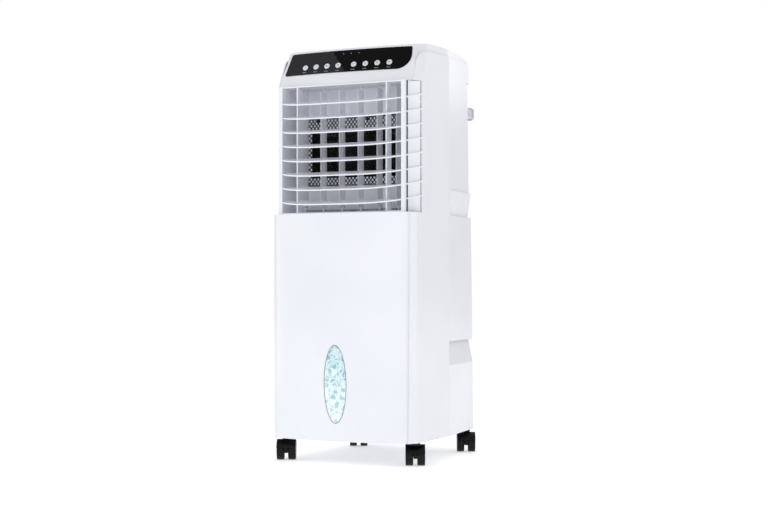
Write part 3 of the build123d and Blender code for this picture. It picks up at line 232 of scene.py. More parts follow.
@dataclass(frozen=True)
class PaintedReflectionAcrylic(Finish):
    """Clear acrylic over black film: mirror smooth, its left part painted a shade lighter as a painted reflection.
    """

    # Tone of the painted reflection, left of the divide.
    painted_reflection_tone: str = "2b2b2f"
    split_top: Flat = (-0.0376, 0.8135)
    split_bottom: Flat = (0.0011, 0.7692)
    soft_mm: float = 2.0
    haze_mm: float = 14.0
    specular: float = 0.12

    def shade(
        self, tree: bpy.types.NodeTree, shader: bpy.types.Node, place: bpy.types.NodeSocket
    ) -> None:
        """Adds a painted reflection, a lighter tone left of a slanting divide, and a trace of polishing haze.

        Args:
            tree: the material's node tree.
            shader: its principled shader.
            place: object coordinates, in metres.
        """
        # Everything left of this slanting divide gets the lighter tone: a painted reflection of a lamp on the
        # black.
        along = Vector(self.split_bottom) - Vector(self.split_top)
        across = Vector((-along.y, along.x)).normalized()
        apart = add_node(tree, "ShaderNodeSeparateXYZ", links={"Vector": place})
        side_x = add_node(
            tree, "ShaderNodeMath", {"operation": "MULTIPLY"}, {1: across.x},
            {0: apart.outputs["X"]},
        )
        side = add_node(
            tree, "ShaderNodeMath", {"operation": "MULTIPLY_ADD"}, {1: across.y},
            {0: apart.outputs["Z"], 2: side_x.outputs["Value"]},
        )
        middle = across.dot(Vector(self.split_top))
        half = self.soft_mm * MM / 2
        share = add_node(
            tree, "ShaderNodeMapRange",
            values={"From Min": middle - half, "From Max": middle + half},
            links={"Value": side.outputs["Value"]},
        )
        tone = add_node(
            tree, "ShaderNodeMix", {"data_type": "RGBA"},
            {MIX_A: linear(self.painted_reflection_tone), MIX_B: linear(self.colour)},
            {MIX_FACTOR: share.outputs["Result"]},
        )
        tree.links.new(tone.outputs[MIX_RESULT], shader.inputs["Base Color"])
        haze = add_node(
            tree, "ShaderNodeTexNoise", values={"Scale": per_mm(self.haze_mm), "Detail": 6.0},
            links={"Vector": place},
        )
        gloss = add_node(
            tree, "ShaderNodeMapRange",
            values={"To Min": self.roughness * 0.6, "To Max": self.roughness * 1.5},
            links={"Value": haze.outputs["Fac"]},
        )
        tree.links.new(gloss.outputs["Result"], shader.inputs["Roughness"])
        shader.inputs["Specular IOR Level"].default_value = self.specular


@dataclass(frozen=True)
class IcePrintedWindow(Finish):
    """Clear styrene with a print of crushed ice in water behind it: teal depths, white swirls."""

    deep: str = "3f9fb4"
    frost: str = "eefbfd"
    low_z: float = 0.083
    high_z: float = 0.232
    crystal_mm: float = 13.0
    swirl_mm: float = 18.0

    def shade(
        self, tree: bpy.types.NodeTree, shader: bpy.types.Node, place: bpy.types.NodeSocket
    ) -> None:
        """Adds cracked crystals, swirls and a paler lower half.

        Args:
            tree: the material's node tree.
            shader: its principled shader.
            place: object coordinates, in metres.
        """
        swirl = add_node(
            tree, "ShaderNodeTexNoise",
            values={"Scale": per_mm(self.swirl_mm), "Detail": 7.0, "Distortion": 1.6},
            links={"Vector": place},
        )
        crystal = add_node(
            tree, "ShaderNodeTexVoronoi", {"feature": "DISTANCE_TO_EDGE"},
            {"Scale": per_mm(self.crystal_mm)}, {"Vector": place},
        )
        crack = add_node(
            tree, "ShaderNodeMapRange",
            values={"From Max": 0.16, "To Min": 0.75, "To Max": 0.0},
            links={"Value": crystal.outputs["Distance"]},
        )
        swirls = add_node(
            tree, "ShaderNodeMapRange",
            values={"From Min": 0.40, "From Max": 0.66, "To Max": 0.95},
            links={"Value": swirl.outputs["Fac"]},
        )
        apart = add_node(tree, "ShaderNodeSeparateXYZ", links={"Vector": place})
        lower = add_node(
            tree, "ShaderNodeMapRange",
            values={
                "From Min": self.high_z, "From Max": self.low_z, "To Min": 0.0, "To Max": 0.55,
            },
            links={"Value": apart.outputs["Z"]},
        )
        paler = add_node(
            tree, "ShaderNodeMath", {"operation": "MAXIMUM"},
            links={0: crack.outputs["Result"], 1: swirls.outputs["Result"]},
        )
        share = add_node(
            tree, "ShaderNodeMath", {"operation": "ADD", "use_clamp": True},
            links={0: paler.outputs["Value"], 1: lower.outputs["Result"]},
        )
        body = add_node(
            tree, "ShaderNodeMix", {"data_type": "RGBA"},
            {MIX_A: linear(self.deep), MIX_B: linear(self.colour)},
            {MIX_FACTOR: swirl.outputs["Fac"]},
        )
        tone = add_node(
            tree, "ShaderNodeMix", {"data_type": "RGBA"}, {MIX_B: linear(self.frost)},
            {MIX_FACTOR: share.outputs["Value"], MIX_A: body.outputs[MIX_RESULT]},
        )
        tree.links.new(tone.outputs[MIX_RESULT], shader.inputs["Base Color"])
        shader.inputs["Coat Weight"].default_value = 0.7
        shader.inputs["Coat Roughness"].default_value = 0.06


@dataclass(frozen=True)
class StoveEnamel(Finish):
    """Black enamel baked on sheet steel: satin, a little thicker and glossier in drips."""

    def shade(
        self, tree: bpy.types.NodeTree, shader: bpy.types.Node, place: bpy.types.NodeSocket
    ) -> None:
        """Adds the enamel's uneven film.

        Args:
            tree: the material's node tree.
            shader: its principled shader.
            place: object coordinates, in metres.
        """
        film = add_node(
            tree, "ShaderNodeTexNoise", values={"Scale": per_mm(3.0), "Detail": 4.0},
            links={"Vector": place},
        )
        gloss = add_node(
            tree, "ShaderNodeMapRange",
            values={"To Min": self.roughness - 0.1, "To Max": self.roughness + 0.12},
            links={"Value": film.outputs["Fac"]},
        )
        tree.links.new(gloss.outputs["Result"], shader.inputs["Roughness"])
        bump = add_node(
            tree, "ShaderNodeBump", values={"Strength": 0.4, "Distance": 0.02 * MM},
            links={"Height": film.outputs["Fac"]},
        )
        tree.links.new(bump.outputs["Normal"], shader.inputs["Normal"])


@dataclass(frozen=True)
class PlatedSteel(Finish):
    """Zinc or nickel on drawn steel: bright metal with fine lines from the drawing die."""

    dull: str = "8f9297"
    line_mm: float = 0.8

    def shade(
        self, tree: bpy.types.NodeTree, shader: bpy.types.Node, place: bpy.types.NodeSocket
    ) -> None:
        """Adds drawn lines, stretched along the height, and duller blooms.

        Args:
            tree: the material's node tree.
            shader: its principled shader.
            place: object coordinates, in metres.
        """
        stretched = add_node(
            tree, "ShaderNodeMapping", values={"Scale": (1.0, 1.0, 0.08)},
            links={"Vector": place},
        )
        lines = add_node(
            tree, "ShaderNodeTexNoise", values={"Scale": per_mm(self.line_mm), "Detail": 3.0},
            links={"Vector": stretched.outputs["Vector"]},
        )
        bloom = add_node(
            tree, "ShaderNodeTexNoise", values={"Scale": per_mm(9.0), "Detail": 3.0},
            links={"Vector": place},
        )
        tone = add_node(
            tree, "ShaderNodeMix", {"data_type": "RGBA"},
            {MIX_A: linear(self.colour), MIX_B: linear(self.dull)},
            {MIX_FACTOR: bloom.outputs["Fac"]},
        )
        tree.links.new(tone.outputs[MIX_RESULT], shader.inputs["Base Color"])
        gloss = add_node(
            tree, "ShaderNodeMapRange",
            values={"To Min": self.roughness - 0.08, "To Max": self.roughness + 0.12},
            links={"Value": lines.outputs["Fac"]},
        )
        tree.links.new(gloss.outputs["Result"], shader.inputs["Roughness"])


@dataclass(frozen=True)
class ScuffedNylon(Finish):
    """Glass-filled nylon, moulded black: satin, greyed in small scuffs where it rolls."""

    scuff: str = "1b1c1f"
    specular: float = 0.2

    def shade(
        self, tree: bpy.types.NodeTree, shader: bpy.types.Node, place: bpy.types.NodeSocket
    ) -> None:
        """Adds scuffs and the fibre's fine grain.

        Args:
            tree: the material's node tree.
            shader: its principled shader.
            place: object coordinates, in metres.
        """
        wear = add_node(
            tree, "ShaderNodeTexNoise",
            values={"Scale": per_mm(6.0), "Detail": 8.0, "Roughness": 0.7},
            links={"Vector": place},
        )
        share = add_node(
            tree, "ShaderNodeMapRange",
            values={"From Min": 0.52, "From Max": 0.72, "To Max": 0.7},
            links={"Value": wear.outputs["Fac"]},
        )
        tone = add_node(
            tree, "ShaderNodeMix", {"data_type": "RGBA"},
            {MIX_A: linear(self.colour), MIX_B: linear(self.scuff)},
            {MIX_FACTOR: share.outputs["Result"]},
        )
        tree.links.new(tone.outputs[MIX_RESULT], shader.inputs["Base Color"])
        gloss = add_node(
            tree, "ShaderNodeMapRange",
            values={"To Min": self.roughness, "To Max": self.roughness + 0.3},
            links={"Value": share.outputs["Result"]},
        )
        tree.links.new(gloss.outputs["Result"], shader.inputs["Roughness"])
        bump = add_node(
            tree, "ShaderNodeBump", values={"Strength": 0.3, "Distance": 0.03 * MM},
            links={"Height": wear.outputs["Fac"]},
        )
        tree.links.new(bump.outputs["Normal"], shader.inputs["Normal"])
        shader.inputs["Specular IOR Level"].default_value = self.specular


@dataclass(frozen=True)
class KraftPaper(Finish):
    """Resin-cured kraft paper, corrugated: fibrous brown, with a pale mineral tide mark."""

    scale: str = "cbbf9f"
    fibre_mm: float = 1.5

    def shade(
        self, tree: bpy.types.NodeTree, shader: bpy.types.Node, place: bpy.types.NodeSocket
    ) -> None:
        """Adds fibres, resin patches and dried minerals.

        Args:
            tree: the material's node tree.
            shader: its principled shader.
            place: object coordinates, in metres.
        """
        fibre = add_node(
            tree, "ShaderNodeTexNoise",
            values={"Scale": per_mm(self.fibre_mm), "Detail": 5.0, "Roughness": 0.7},
            links={"Vector": place},
        )
        patch = add_node(
            tree, "ShaderNodeTexNoise", values={"Scale": per_mm(30.0), "Detail": 4.0},
            links={"Vector": place},
        )
        share = add_node(
            tree, "ShaderNodeMapRange",
            values={"From Min": 0.45, "From Max": 0.75, "To Max": 0.6},
            links={"Value": patch.outputs["Fac"]},
        )
        tone = add_node(
            tree, "ShaderNodeMix", {"data_type": "RGBA"},
            {MIX_A: linear(self.colour), MIX_B: linear(self.scale)},
            {MIX_FACTOR: share.outputs["Result"]},
        )
        shaded = add_node(
            tree, "ShaderNodeMix", {"data_type": "RGBA", "blend_type": "MULTIPLY"},
            {MIX_FACTOR: 0.35},
            {MIX_A: tone.outputs[MIX_RESULT], MIX_B: fibre.outputs["Color"]},
        )
        tree.links.new(shaded.outputs[MIX_RESULT], shader.inputs["Base Color"])
        bump = add_node(
            tree, "ShaderNodeBump", values={"Strength": 0.7, "Distance": 0.1 * MM},
            links={"Height": fibre.outputs["Fac"]},
        )
        tree.links.new(bump.outputs["Normal"], shader.inputs["Normal"])


@dataclass(frozen=True)
class BoardLaminate(Finish):
    """Glass-epoxy board under green mask: copper tracks show as slightly paler lines."""

    track: str = "2f7a4d"
    track_mm: float = 5.0

    def shade(
        self, tree: bpy.types.NodeTree, shader: bpy.types.Node, place: bpy.types.NodeSocket
    ) -> None:
        """Adds right-angled tracks under the mask.

        Args:
            tree: the material's node tree.
            shader: its principled shader.
            place: object coordinates, in metres.
        """
        tracks = add_node(
            tree, "ShaderNodeTexBrick",
            values={
                "Scale": per_mm(self.track_mm), "Mortar Size": 0.08,
                "Color1": linear(self.colour), "Color2": linear(self.colour),
                "Mortar": linear(self.track),
            },
            links={"Vector": place},
        )
        tree.links.new(tracks.outputs["Color"], shader.inputs["Base Color"])
        bump = add_node(
            tree, "ShaderNodeBump", values={"Strength": 0.5, "Distance": 0.05 * MM},
            links={"Height": tracks.outputs["Fac"]},
        )
        tree.links.new(bump.outputs["Normal"], shader.inputs["Normal"])


@dataclass(frozen=True)
class MottledFilm(Finish):
    """A plain film or moulding, such as ink, rubber or hose: one tone with a soft mottle."""

    mottle: str = "808080"
    mottle_mm: float = 4.0
    mottle_share: float = 0.3

    def shade(
        self, tree: bpy.types.NodeTree, shader: bpy.types.Node, place: bpy.types.NodeSocket
    ) -> None:
        """Adds the mottle to the colour and the roughness.

        Args:
            tree: the material's node tree.
            shader: its principled shader.
            place: object coordinates, in metres.
        """
        cloud = add_node(
            tree, "ShaderNodeTexNoise", values={"Scale": per_mm(self.mottle_mm), "Detail": 5.0},
            links={"Vector": place},
        )
        share = add_node(
            tree, "ShaderNodeMapRange",
            values={"From Min": 0.4, "From Max": 0.7, "To Max": self.mottle_share},
            links={"Value": cloud.outputs["Fac"]},
        )
        tone = add_node(
            tree, "ShaderNodeMix", {"data_type": "RGBA"},
            {MIX_A: linear(self.colour), MIX_B: linear(self.mottle)},
            {MIX_FACTOR: share.outputs["Result"]},
        )
        tree.links.new(tone.outputs[MIX_RESULT], shader.inputs["Base Color"])
        gloss = add_node(
            tree, "ShaderNodeMapRange",
            values={"To Min": self.roughness * 0.85, "To Max": min(1.0, self.roughness * 1.2)},
            links={"Value": cloud.outputs["Fac"]},
        )
        tree.links.new(gloss.outputs["Result"], shader.inputs["Roughness"])


# ABS from a polished tool: cool white, glossy enough to show long soft highlights.
WHITE_ABS = MouldedPlastic("ABS moulded gloss white", "f1f3f9", 0.24, 1.54, tone="eceef5")
# The same resin inside the outlet, from a duller part of the tool; its colour is a touch paler than the shell, as
# painted light in the deep duct.
DUCT_ABS = MouldedPlastic(
    "ABS moulded satin duct white", "f2f4fa", 0.42, 1.54, tone="eceef6", grain_mm=1.6
)
# Small caps are shot separately and polished harder.
CAP_ABS = MouldedPlastic(
    "ABS moulded cap white", "e6e8ec", 0.2, 1.54, tone="dddfe4", flow_mm=8.0, grain_mm=1.0
)
# Cord hooks are a greyer copy of the white, as painted shade, with a spark-eroded grain.
HOOK_ABS = MouldedPlastic(
    "ABS hook grey as painted shade", "d3d6dc", 0.4, 1.54, tone="c9ccd4", grain_mm=0.9,
    grain_depth_mm=0.02,
)
# Polypropylene inside is unpolished, waxy and mid grey.
GREY_PP = MouldedPlastic(
    "Polypropylene moulded grey", "9da1a8", 0.5, 1.49, tone="8f939b", grain_mm=1.1,
    grain_depth_mm=0.02,
)
# The blower's scroll and wheel are near-black as painted shade, so the outlet looks like a dark hole.
SHADE_BLACK_PP = MouldedPlastic(
    "Polypropylene painted shade black", "08080a", 0.62, 1.49, tone="0c0c0f", grain_mm=1.1,
    grain_depth_mm=0.02,
)
# The fascia's lighter left part is a painted reflection.
FASCIA_ACRYLIC = PaintedReflectionAcrylic("Acrylic polished black with painted reflection", "040405", 0.1, 1.49)
ICE_WINDOW = IcePrintedWindow("Styrene window crushed ice print", "8fd3e0", 0.12, 1.59)
BLACK_ENAMEL = StoveEnamel("Stove enamel satin black", "060607", 0.45)
NICKEL_STEEL = PlatedSteel("Steel nickel plated drawn", "c9cbcf", 0.24, metallic=1.0)
ZINC_STEEL = PlatedSteel(
    "Steel zinc plated rolled", "b4b8be", 0.38, metallic=1.0, dull="8a8f96", line_mm=1.4
)
BLACK_NYLON = ScuffedNylon("Nylon moulded black scuffed", "060607", 0.4, 1.53)
PAD_PAPER = KraftPaper("Kraft paper corrugated resin cured", "a47b45", 0.85)
BOARD_MASK = BoardLaminate("Glass epoxy laminate green mask", "12502c", 0.35)
NET_NYLON = MottledFilm("Nylon net woven dark", "25272b", 0.6, 1.53, mottle="3a3c42")
RUBBER = MottledFilm("Rubber vulcanised black", "0e0e0f", 0.7, 1.52, mottle="26262a")
HOSE_PVC = MottledFilm("Vinyl hose extruded milky", "d9dee2", 0.25, 1.53, mottle="c3cbd2")
ICON_INK = MottledFilm("Ink pad printed slate", "3d4650", 0.5, mottle="56606b", mottle_mm=0.8)
LABEL_INK = MottledFilm("Ink screen printed pale", "9a9da2", 0.5, mottle="7e8188", mottle_mm=0.8)
SEAL_DARK = MottledFilm("Rubber seal moulded slate", "46525c", 0.5, mottle="303a42")
LAMP_LENS = MottledFilm("Acrylic lamp lens smoked", "6b6e73", 0.2, 1.49, mottle="8a8d92")
FLOOR_PAPER = MottledFilm(
    "Paper seamless pale", "f7f7f8", 0.9, mottle="f3f3f5", mottle_mm=300.0, mottle_share=0.5
)


# ---- Shape tools --------------------------------------------------------------------


def dress(finish: Finish, *nodes: str) -> None:
    """Gives CAD nodes one finish, leaving their shape alone.

    Args:
        finish: the finish.
        nodes: names of the CAD nodes.
    """
    for node in nodes:
        slots = frame["nodes"][node].data.materials
        slots.clear()
        slots.append(finish.material())


def slot_of(node: str) -> str:
    """The record's material slot of a CAD node."""
    rows = frame["record"]["subparts"]
    return next(row["material_slot"] for row in rows if row["node"] == node)


class Shape:
    """Closed solids gathered in one mesh, in metres, in the part's own frame."""

    def __init__(self) -> None:
        """Starts with an empty mesh."""
        self.mesh = bmesh.new()

    def loft(self, rings: Sequence[Sequence[Vector]], closed: bool = False) -> None:
        """Joins rings of points in order, with a cap at each end.

        Args:
            rings: rings of equally many points.
            closed: True joins the last ring to the first instead of capping.
        """
        made = [[self.mesh.verts.new(p) for p in ring] for ring in rings]
        pairs = list(zip(made, made[1:]))
        if closed:
            pairs.append((made[-1], made[0]))
        for low, high in pairs:
            for i, start in enumerate(low):
                j = (i + 1) % len(low)
                self.mesh.faces.new((start, low[j], high[j], high[i]))
        if not closed:
            self.mesh.faces.new(list(reversed(made[0])))
            self.mesh.faces.new(made[-1])

    def bar(self, start: Vector, end: Vector, side: Vector, width: float, deep: float) -> None:
        """Adds a rectangular bar.

        Args:
            start: middle of one end.
            end: middle of the other end.
            side: direction of its width.
            width: size along side.
            deep: size square to the bar and to side.
        """
        across = side.normalized() * (width / 2)
        up = (end - start).cross(side).normalized() * (deep / 2)
        corners = (across + up, up - across, -across - up, across - up)
        self.loft([[start + c for c in corners], [end + c for c in corners]])

    def tube(self, points: Sequence[Vector], radius: float, sides: int, closed: bool) -> None:
        """Adds a round wire along points.

        Args:
            points: its centre line.
            radius: its radius.
            sides: how many flat sides stand for round.
            closed: True for a ring.
        """
        rings = []
        count = len(points)
        for i, point in enumerate(points):
            ahead = points[(i + 1) % count] if closed or i + 1 < count else point
            behind = points[i - 1] if closed or i else point
            tangent = (ahead - behind).normalized()
            across = tangent.cross(Vector((0.0, 1.0, 0.0)))
            if across.length < 1e-4:
                across = tangent.cross(Vector((0.0, 0.0, 1.0)))
            across.normalize()
            up = across.cross(tangent)
            turns = [math.tau * k / sides for k in range(sides)]
            rings.append(
                [point + (across * math.cos(a) + up * math.sin(a)) * radius for a in turns]
            )
        self.loft(rings, closed)

    def place(
        self, name: str, body: str, slot: str, finish: Finish, bevel: float = 0.0
    ) -> bpy.types.Object:
        """Makes the object, dresses it and lets it ride.

        Args:
            name: the piece's name.
            body: CAD body that it moves with.
            slot: the record's material slot; not used.
            finish: its finish.
            bevel: width of the rounded edges, in metres.

        Returns:
            The new object.
        """
        bmesh.ops.recalc_face_normals(self.mesh, faces=self.mesh.faces)
        data = bpy.data.meshes.new(name)
        self.mesh.to_mesh(data)
        self.mesh.free()
        data.materials.append(finish.material())
        piece = bpy.data.objects.new(name, data)
        bpy.context.scene.collection.objects.link(piece)
        if bevel:
            edge = piece.modifiers.new("rounded edges", "BEVEL")
            edge.width = bevel
            edge.segments = 2
            edge.limit_method = "ANGLE"
        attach(piece, body)
        LOG.info("piece %s on %s: %d faces", name, body, len(data.polygons))
        return piece


class Skin:
    """The surface of one CAD node, for laying thin pieces on it."""

    def __init__(self, node: str) -> None:
        """Reads the node's mesh.

        Args:
            node: name of the CAD node.
        """
        data = frame["nodes"][node].data
        corners = [v.co.copy() for v in data.vertices]
        self.tree = BVHTree.FromPolygons(corners, [tuple(p.vertices) for p in data.polygons])

    def front(self, x: float, z: float) -> Vector:
        """The foremost point of the surface at x and z.

        Args:
            x: place to the right.
            z: height.

        Returns:
            The point on the surface.
        """
        hit = self.tree.ray_cast(Vector((x, -1.0, z)), Vector((0.0, 1.0, 0.0)))[0]
        if hit is None:
            raise ValueError(f"nothing of the surface lies at x {x:.4f}, z {z:.4f}")
        return hit


def mark(shape: Shape, skin: Skin, box: tuple[float, float, float, float], thick: float) -> None:
    """Adds a thin rectangular mark that follows a surface.

    Args:
        shape: gathers the mark.
        skin: the surface below it.
        box: lowest x, highest x, lowest z and highest z.
        thick: how far it stands out.
    """
    x_low, x_high, z_low, z_high = box
    steps = 6
    out, sunk = Vector((0.0, -thick, 0.0)), Vector((0.0, 0.1 * MM, 0.0))
    rings = []
    for i in range(steps + 1):
        x = x_low + (x_high - x_low) * i / steps
        low, high = skin.front(x, z_low), skin.front(x, z_high)
        rings.append([low + out, high + out, high + sunk, low + sunk])
    shape.loft(rings)


# ---- Sub-assemblies -----------------------------------------------------------------


@dataclass
class Casing:
    """The white outer mouldings, the window and the small trim on the outside."""

    shells: tuple[str, ...] = (
        "side_panel_left", "side_panel_right", "front_panel", "top_cover", "rear_cover",
        "filter_frame", "louvre_grille",
    )
    seal_width: float = 0.9 * MM
    seal_points: int = 96

    def build(self) -> None:
        """Dresses the mouldings and lays the window's seal."""
        dress(WHITE_ABS, *self.shells)
        dress(GREY_PP, "base_pan")
        dress(ICE_WINDOW, "water_window")
        dress(RUBBER, "cord_gland")
        # The hooks' grey is painted shade on white ABS.
        dress(HOOK_ABS, "cord_hooks")
        self.lay_window_seal()

    def lay_window_seal(self) -> None:
        """Lays the thin dark seal in the joint round the elliptical window."""
        low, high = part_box("water_window")
        centre = (low + high) / 2
        half_x = (high.x - low.x) / 2 + self.seal_width
        half_z = (high.z - low.z) / 2 + self.seal_width
        skin = Skin("front_panel")
        points = []
        for i in range(self.seal_points):
            turn = math.tau * i / self.seal_points
            x = centre.x + half_x * math.cos(turn)
            z = centre.z + half_z * math.sin(turn)
            points.append(skin.front(x, z))
        shape = Shape()
        shape.tube(points, self.seal_width / 2, 8, closed=True)
        shape.place("window_seal", "casing", slot_of("cord_gland"), SEAL_DARK)


@dataclass
class Outlet:
    """Duct, swing vanes, crank drive and the expanded mesh guard behind the louvres."""

    diamond_x: float = 8.0 * MM
    diamond_z: float = 9.5 * MM
    strand_width: float = 1.5 * MM
    strand_deep: float = 0.8 * MM
    rim_width: float = 3.0 * MM
    vane_count: int = 6

    def build(self) -> None:
        """Dresses the duct and its vanes and makes the mesh guard."""
        # The duct's slightly paler colour is painted light.
        dress(DUCT_ABS, "outlet_duct")
        dress(WHITE_ABS, *[f"swing_vane_{i + 1}" for i in range(self.vane_count)])
        dress(GREY_PP, "vane_link_bar", "swing_crank", "swing_motor")
        dress(BLACK_ENAMEL, "guard_screws")
        self.make_guard()

    def strands(self, low: Vector, high: Vector) -> Iterator[tuple[Vector, Vector]]:
        """Goes through the strands of the expanded sheet.

        Args:
            low: lowest corner inside the rim.
            high: highest corner inside the rim.

        Yields:
            Both ends of each strand.
        """
        columns = round((high.x - low.x) / self.diamond_x) * 2
        rows = round((high.z - low.z) / self.diamond_z) * 2
        step_x = (high.x - low.x) / columns
        step_z = (high.z - low.z) / rows
        y = (low.y + high.y) / 2
        for row in range(rows):
            for column in range(columns):
                rising = (row + column) % 2 == 0
                ends = (0, 1) if rising else (1, 0)
                x_low, x_high = (low.x + (column + e) * step_x for e in ends)
                z = low.z + row * step_z
                yield Vector((x_low, y, z)), Vector((x_high, y, z + step_z))

    def make_guard(self) -> None:
        """Makes the slit and stretched sheet, finer than its CAD stand-in, with a flat rim."""
        low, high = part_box("mesh_guard")
        shape = Shape()
        lift = Vector((self.rim_width / 2, 0.0, self.rim_width / 2))
        for start, end in self.strands(low + lift, high - lift):
            run = (end - start).normalized()
            side = run.cross(Vector((0.0, 1.0, 0.0))) + Vector((0.0, 0.25, 0.0))
            shape.bar(start, end, side, self.strand_width, self.strand_deep)
        self.add_rim(shape, low, high)
        guard = shape.place("guard_expanded_mesh", "casing", slot_of("mesh_guard"), BLACK_ENAMEL)
        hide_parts("mesh_guard")

    def add_rim(self, shape: Shape, low: Vector, high: Vector) -> None:
        """Adds the sheet's unslit rim.

        Args:
            shape: gathers the rim.
            low: lowest corner of the sheet.
            high: highest corner of the sheet.
        """
        half, y = self.rim_width / 2, (low.y + high.y) / 2
        deep = high.y - low.y
        for z in (low.z + half, high.z - half):
            ends = Vector((low.x, y, z)), Vector((high.x, y, z))
            shape.bar(*ends, Vector((0.0, 0.0, 1.0)), self.rim_width, deep)
        for x in (low.x + half, high.x - half):
            ends = Vector((x, y, low.z)), Vector((x, y, high.z))
            shape.bar(*ends, Vector((1.0, 0.0, 0.0)), self.rim_width, deep)


class Icon(Enum):
    """Plain signs on the push buttons."""

    POWER = "power"
    SPEED = "speed"
    MODE = "mode"
    TIMER = "timer"
    SWING = "swing"
    COOL = "cool"
    PUMP = "pump"
    LIGHT = "light"

    def strokes(self) -> list[list[Flat]]:
        """The sign's lines, in a square from minus one to one.

        Returns:
            One list of points for each line.
        """
        return {
            Icon.POWER: [arc(0.0, -0.1, 0.7, 130, 50), [(0.0, 0.2), (0.0, 0.9)]],
            Icon.SPEED: [[(x, -0.7), (x, y)] for x, y in ((-0.6, -0.1), (0.0, 0.3), (0.6, 0.8))],
            Icon.MODE: [arc(-0.3, 0.0, 0.5, 0, 360), arc(0.3, 0.0, 0.5, 0, 360)],
            Icon.TIMER: [arc(0.0, 0.0, 0.8, 0, 360), [(0.0, 0.5), (0.0, 0.0), (0.4, 0.0)]],
            Icon.SWING: [[(s * 0.3, -0.6), (s * 0.8, 0.0), (s * 0.3, 0.6)] for s in (-1, 1)],
            Icon.COOL: [
                [(-math.cos(a), -math.sin(a)), (math.cos(a), math.sin(a))]
                for a in (math.pi / 2, math.pi / 6, -math.pi / 6)
            ],
            Icon.PUMP: [[(0.0, 0.9), *arc(0.0, -0.2, 0.55, 30, -210), (0.0, 0.9)]],
            Icon.LIGHT: [
                arc(0.0, 0.0, 0.4, 0, 360),
                *[
                    [(0.6 * math.cos(a), 0.6 * math.sin(a)), (math.cos(a), math.sin(a))]
                    for a in (math.pi / 4 * k for k in range(8))
                ],
            ],
        }[self]


def arc(x: float, y: float, radius: float, start: float, end: float) -> list[Flat]:
    """Points on an arc.

    Args:
        x: centre to the right.
        y: centre upward.
        radius: its radius.
        start: first angle in degrees.
        end: last angle in degrees.

    Returns:
        The points in order.
    """
    steps = max(6, int(abs(end - start) / 18))
    turns = [math.radians(start + (end - start) * i / steps) for i in range(steps + 1)]
    return [(x + radius * math.cos(a), y + radius * math.sin(a)) for a in turns]


@dataclass
class ControlPanel:
    """Black fascia, eight push buttons with plain signs, label dashes and three lamps."""

    icon_size: float = 2.6 * MM
    icon_stroke: float = 0.55 * MM
    print_thick: float = 0.05 * MM
    dash_half: float = 4.2 * MM
    dash_height: float = 1.0 * MM
    dash_drop: float = 9.2 * MM
    icons: tuple[Icon, ...] = field(default_factory=lambda: tuple(Icon))

    def build(self) -> None:
        """Dresses the fascia and caps and prints their marks."""
        # The fascia's lighter left part is a painted reflection.
        dress(FASCIA_ACRYLIC, "control_fascia")
        dress(LAMP_LENS, "indicator_lenses")
        dress(BOARD_MASK, "control_board")
        for icon in self.icons:
            dress(CAP_ABS, f"button_{icon.value}")
            self.print_icon(icon)
        self.print_dashes()

    def press_axis(self, button: str) -> Vector:
        """Direction in which a button is pressed, from the record's joint."""
        joint = next(j for j in frame["joints"] if j["name"] == f"{button}_press")
        return Vector(joint["axis"]).normalized()

    def print_icon(self, icon: Icon) -> None:
        """Prints a button's sign on its cap.

        Args:
            icon: the sign, which also names the button.
        """
        node = f"button_{icon.value}"
        out = -self.press_axis(icon.value)
        right = Vector((1.0, 0.0, 0.0))
        up = out.cross(right).normalized()
        corners = [v.co for v in frame["nodes"][node].data.vertices]
        low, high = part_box(node)
        reach = max(c.dot(out) for c in corners)
        tops = [c for c in corners if reach - c.dot(out) < 0.02 * MM]
        centre = sum(tops, Vector()) / len(tops)
        centre.x = (low.x + high.x) / 2
        shape = Shape()
        for stroke in icon.strokes():
            points = [centre + (right * a + up * b) * self.icon_size for a, b in stroke]
            for start, end in zip(points, points[1:]):
                side = (end - start).cross(out)
                shape.bar(start, end, side, self.icon_stroke, 2 * self.print_thick)
        shape.place(f"icon_{icon.value}", node, slot_of("control_fascia"), ICON_INK)

    def print_dashes(self) -> None:
        """Prints a plain dash below each button, where a label would be."""
        skin = Skin("control_fascia")
        shape = Shape()
        for icon in self.icons:
            low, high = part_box(f"button_{icon.value}")
            x, z = (low.x + high.x) / 2, (low.z + high.z) / 2 - self.dash_drop
            box = (x - self.dash_half, x + self.dash_half, z, z + self.dash_height)
            mark(shape, skin, box, self.print_thick)
        shape.place("label_dashes", "casing", slot_of("button_power"), LABEL_INK)


@dataclass
class AirMover:
    """Blower scroll, wheel, shaft, motor and its bracket."""

    def build(self) -> None:
        """Dresses the blower and its motor."""
        # The blower's near-black is painted shade for the depth of the outlet.
        dress(SHADE_BLACK_PP, "blower_housing", "blower_wheel")
        dress(ZINC_STEEL, "fan_motor", "motor_bracket")
        dress(NICKEL_STEEL, "motor_shaft")
        dress(BOARD_MASK, "power_board")


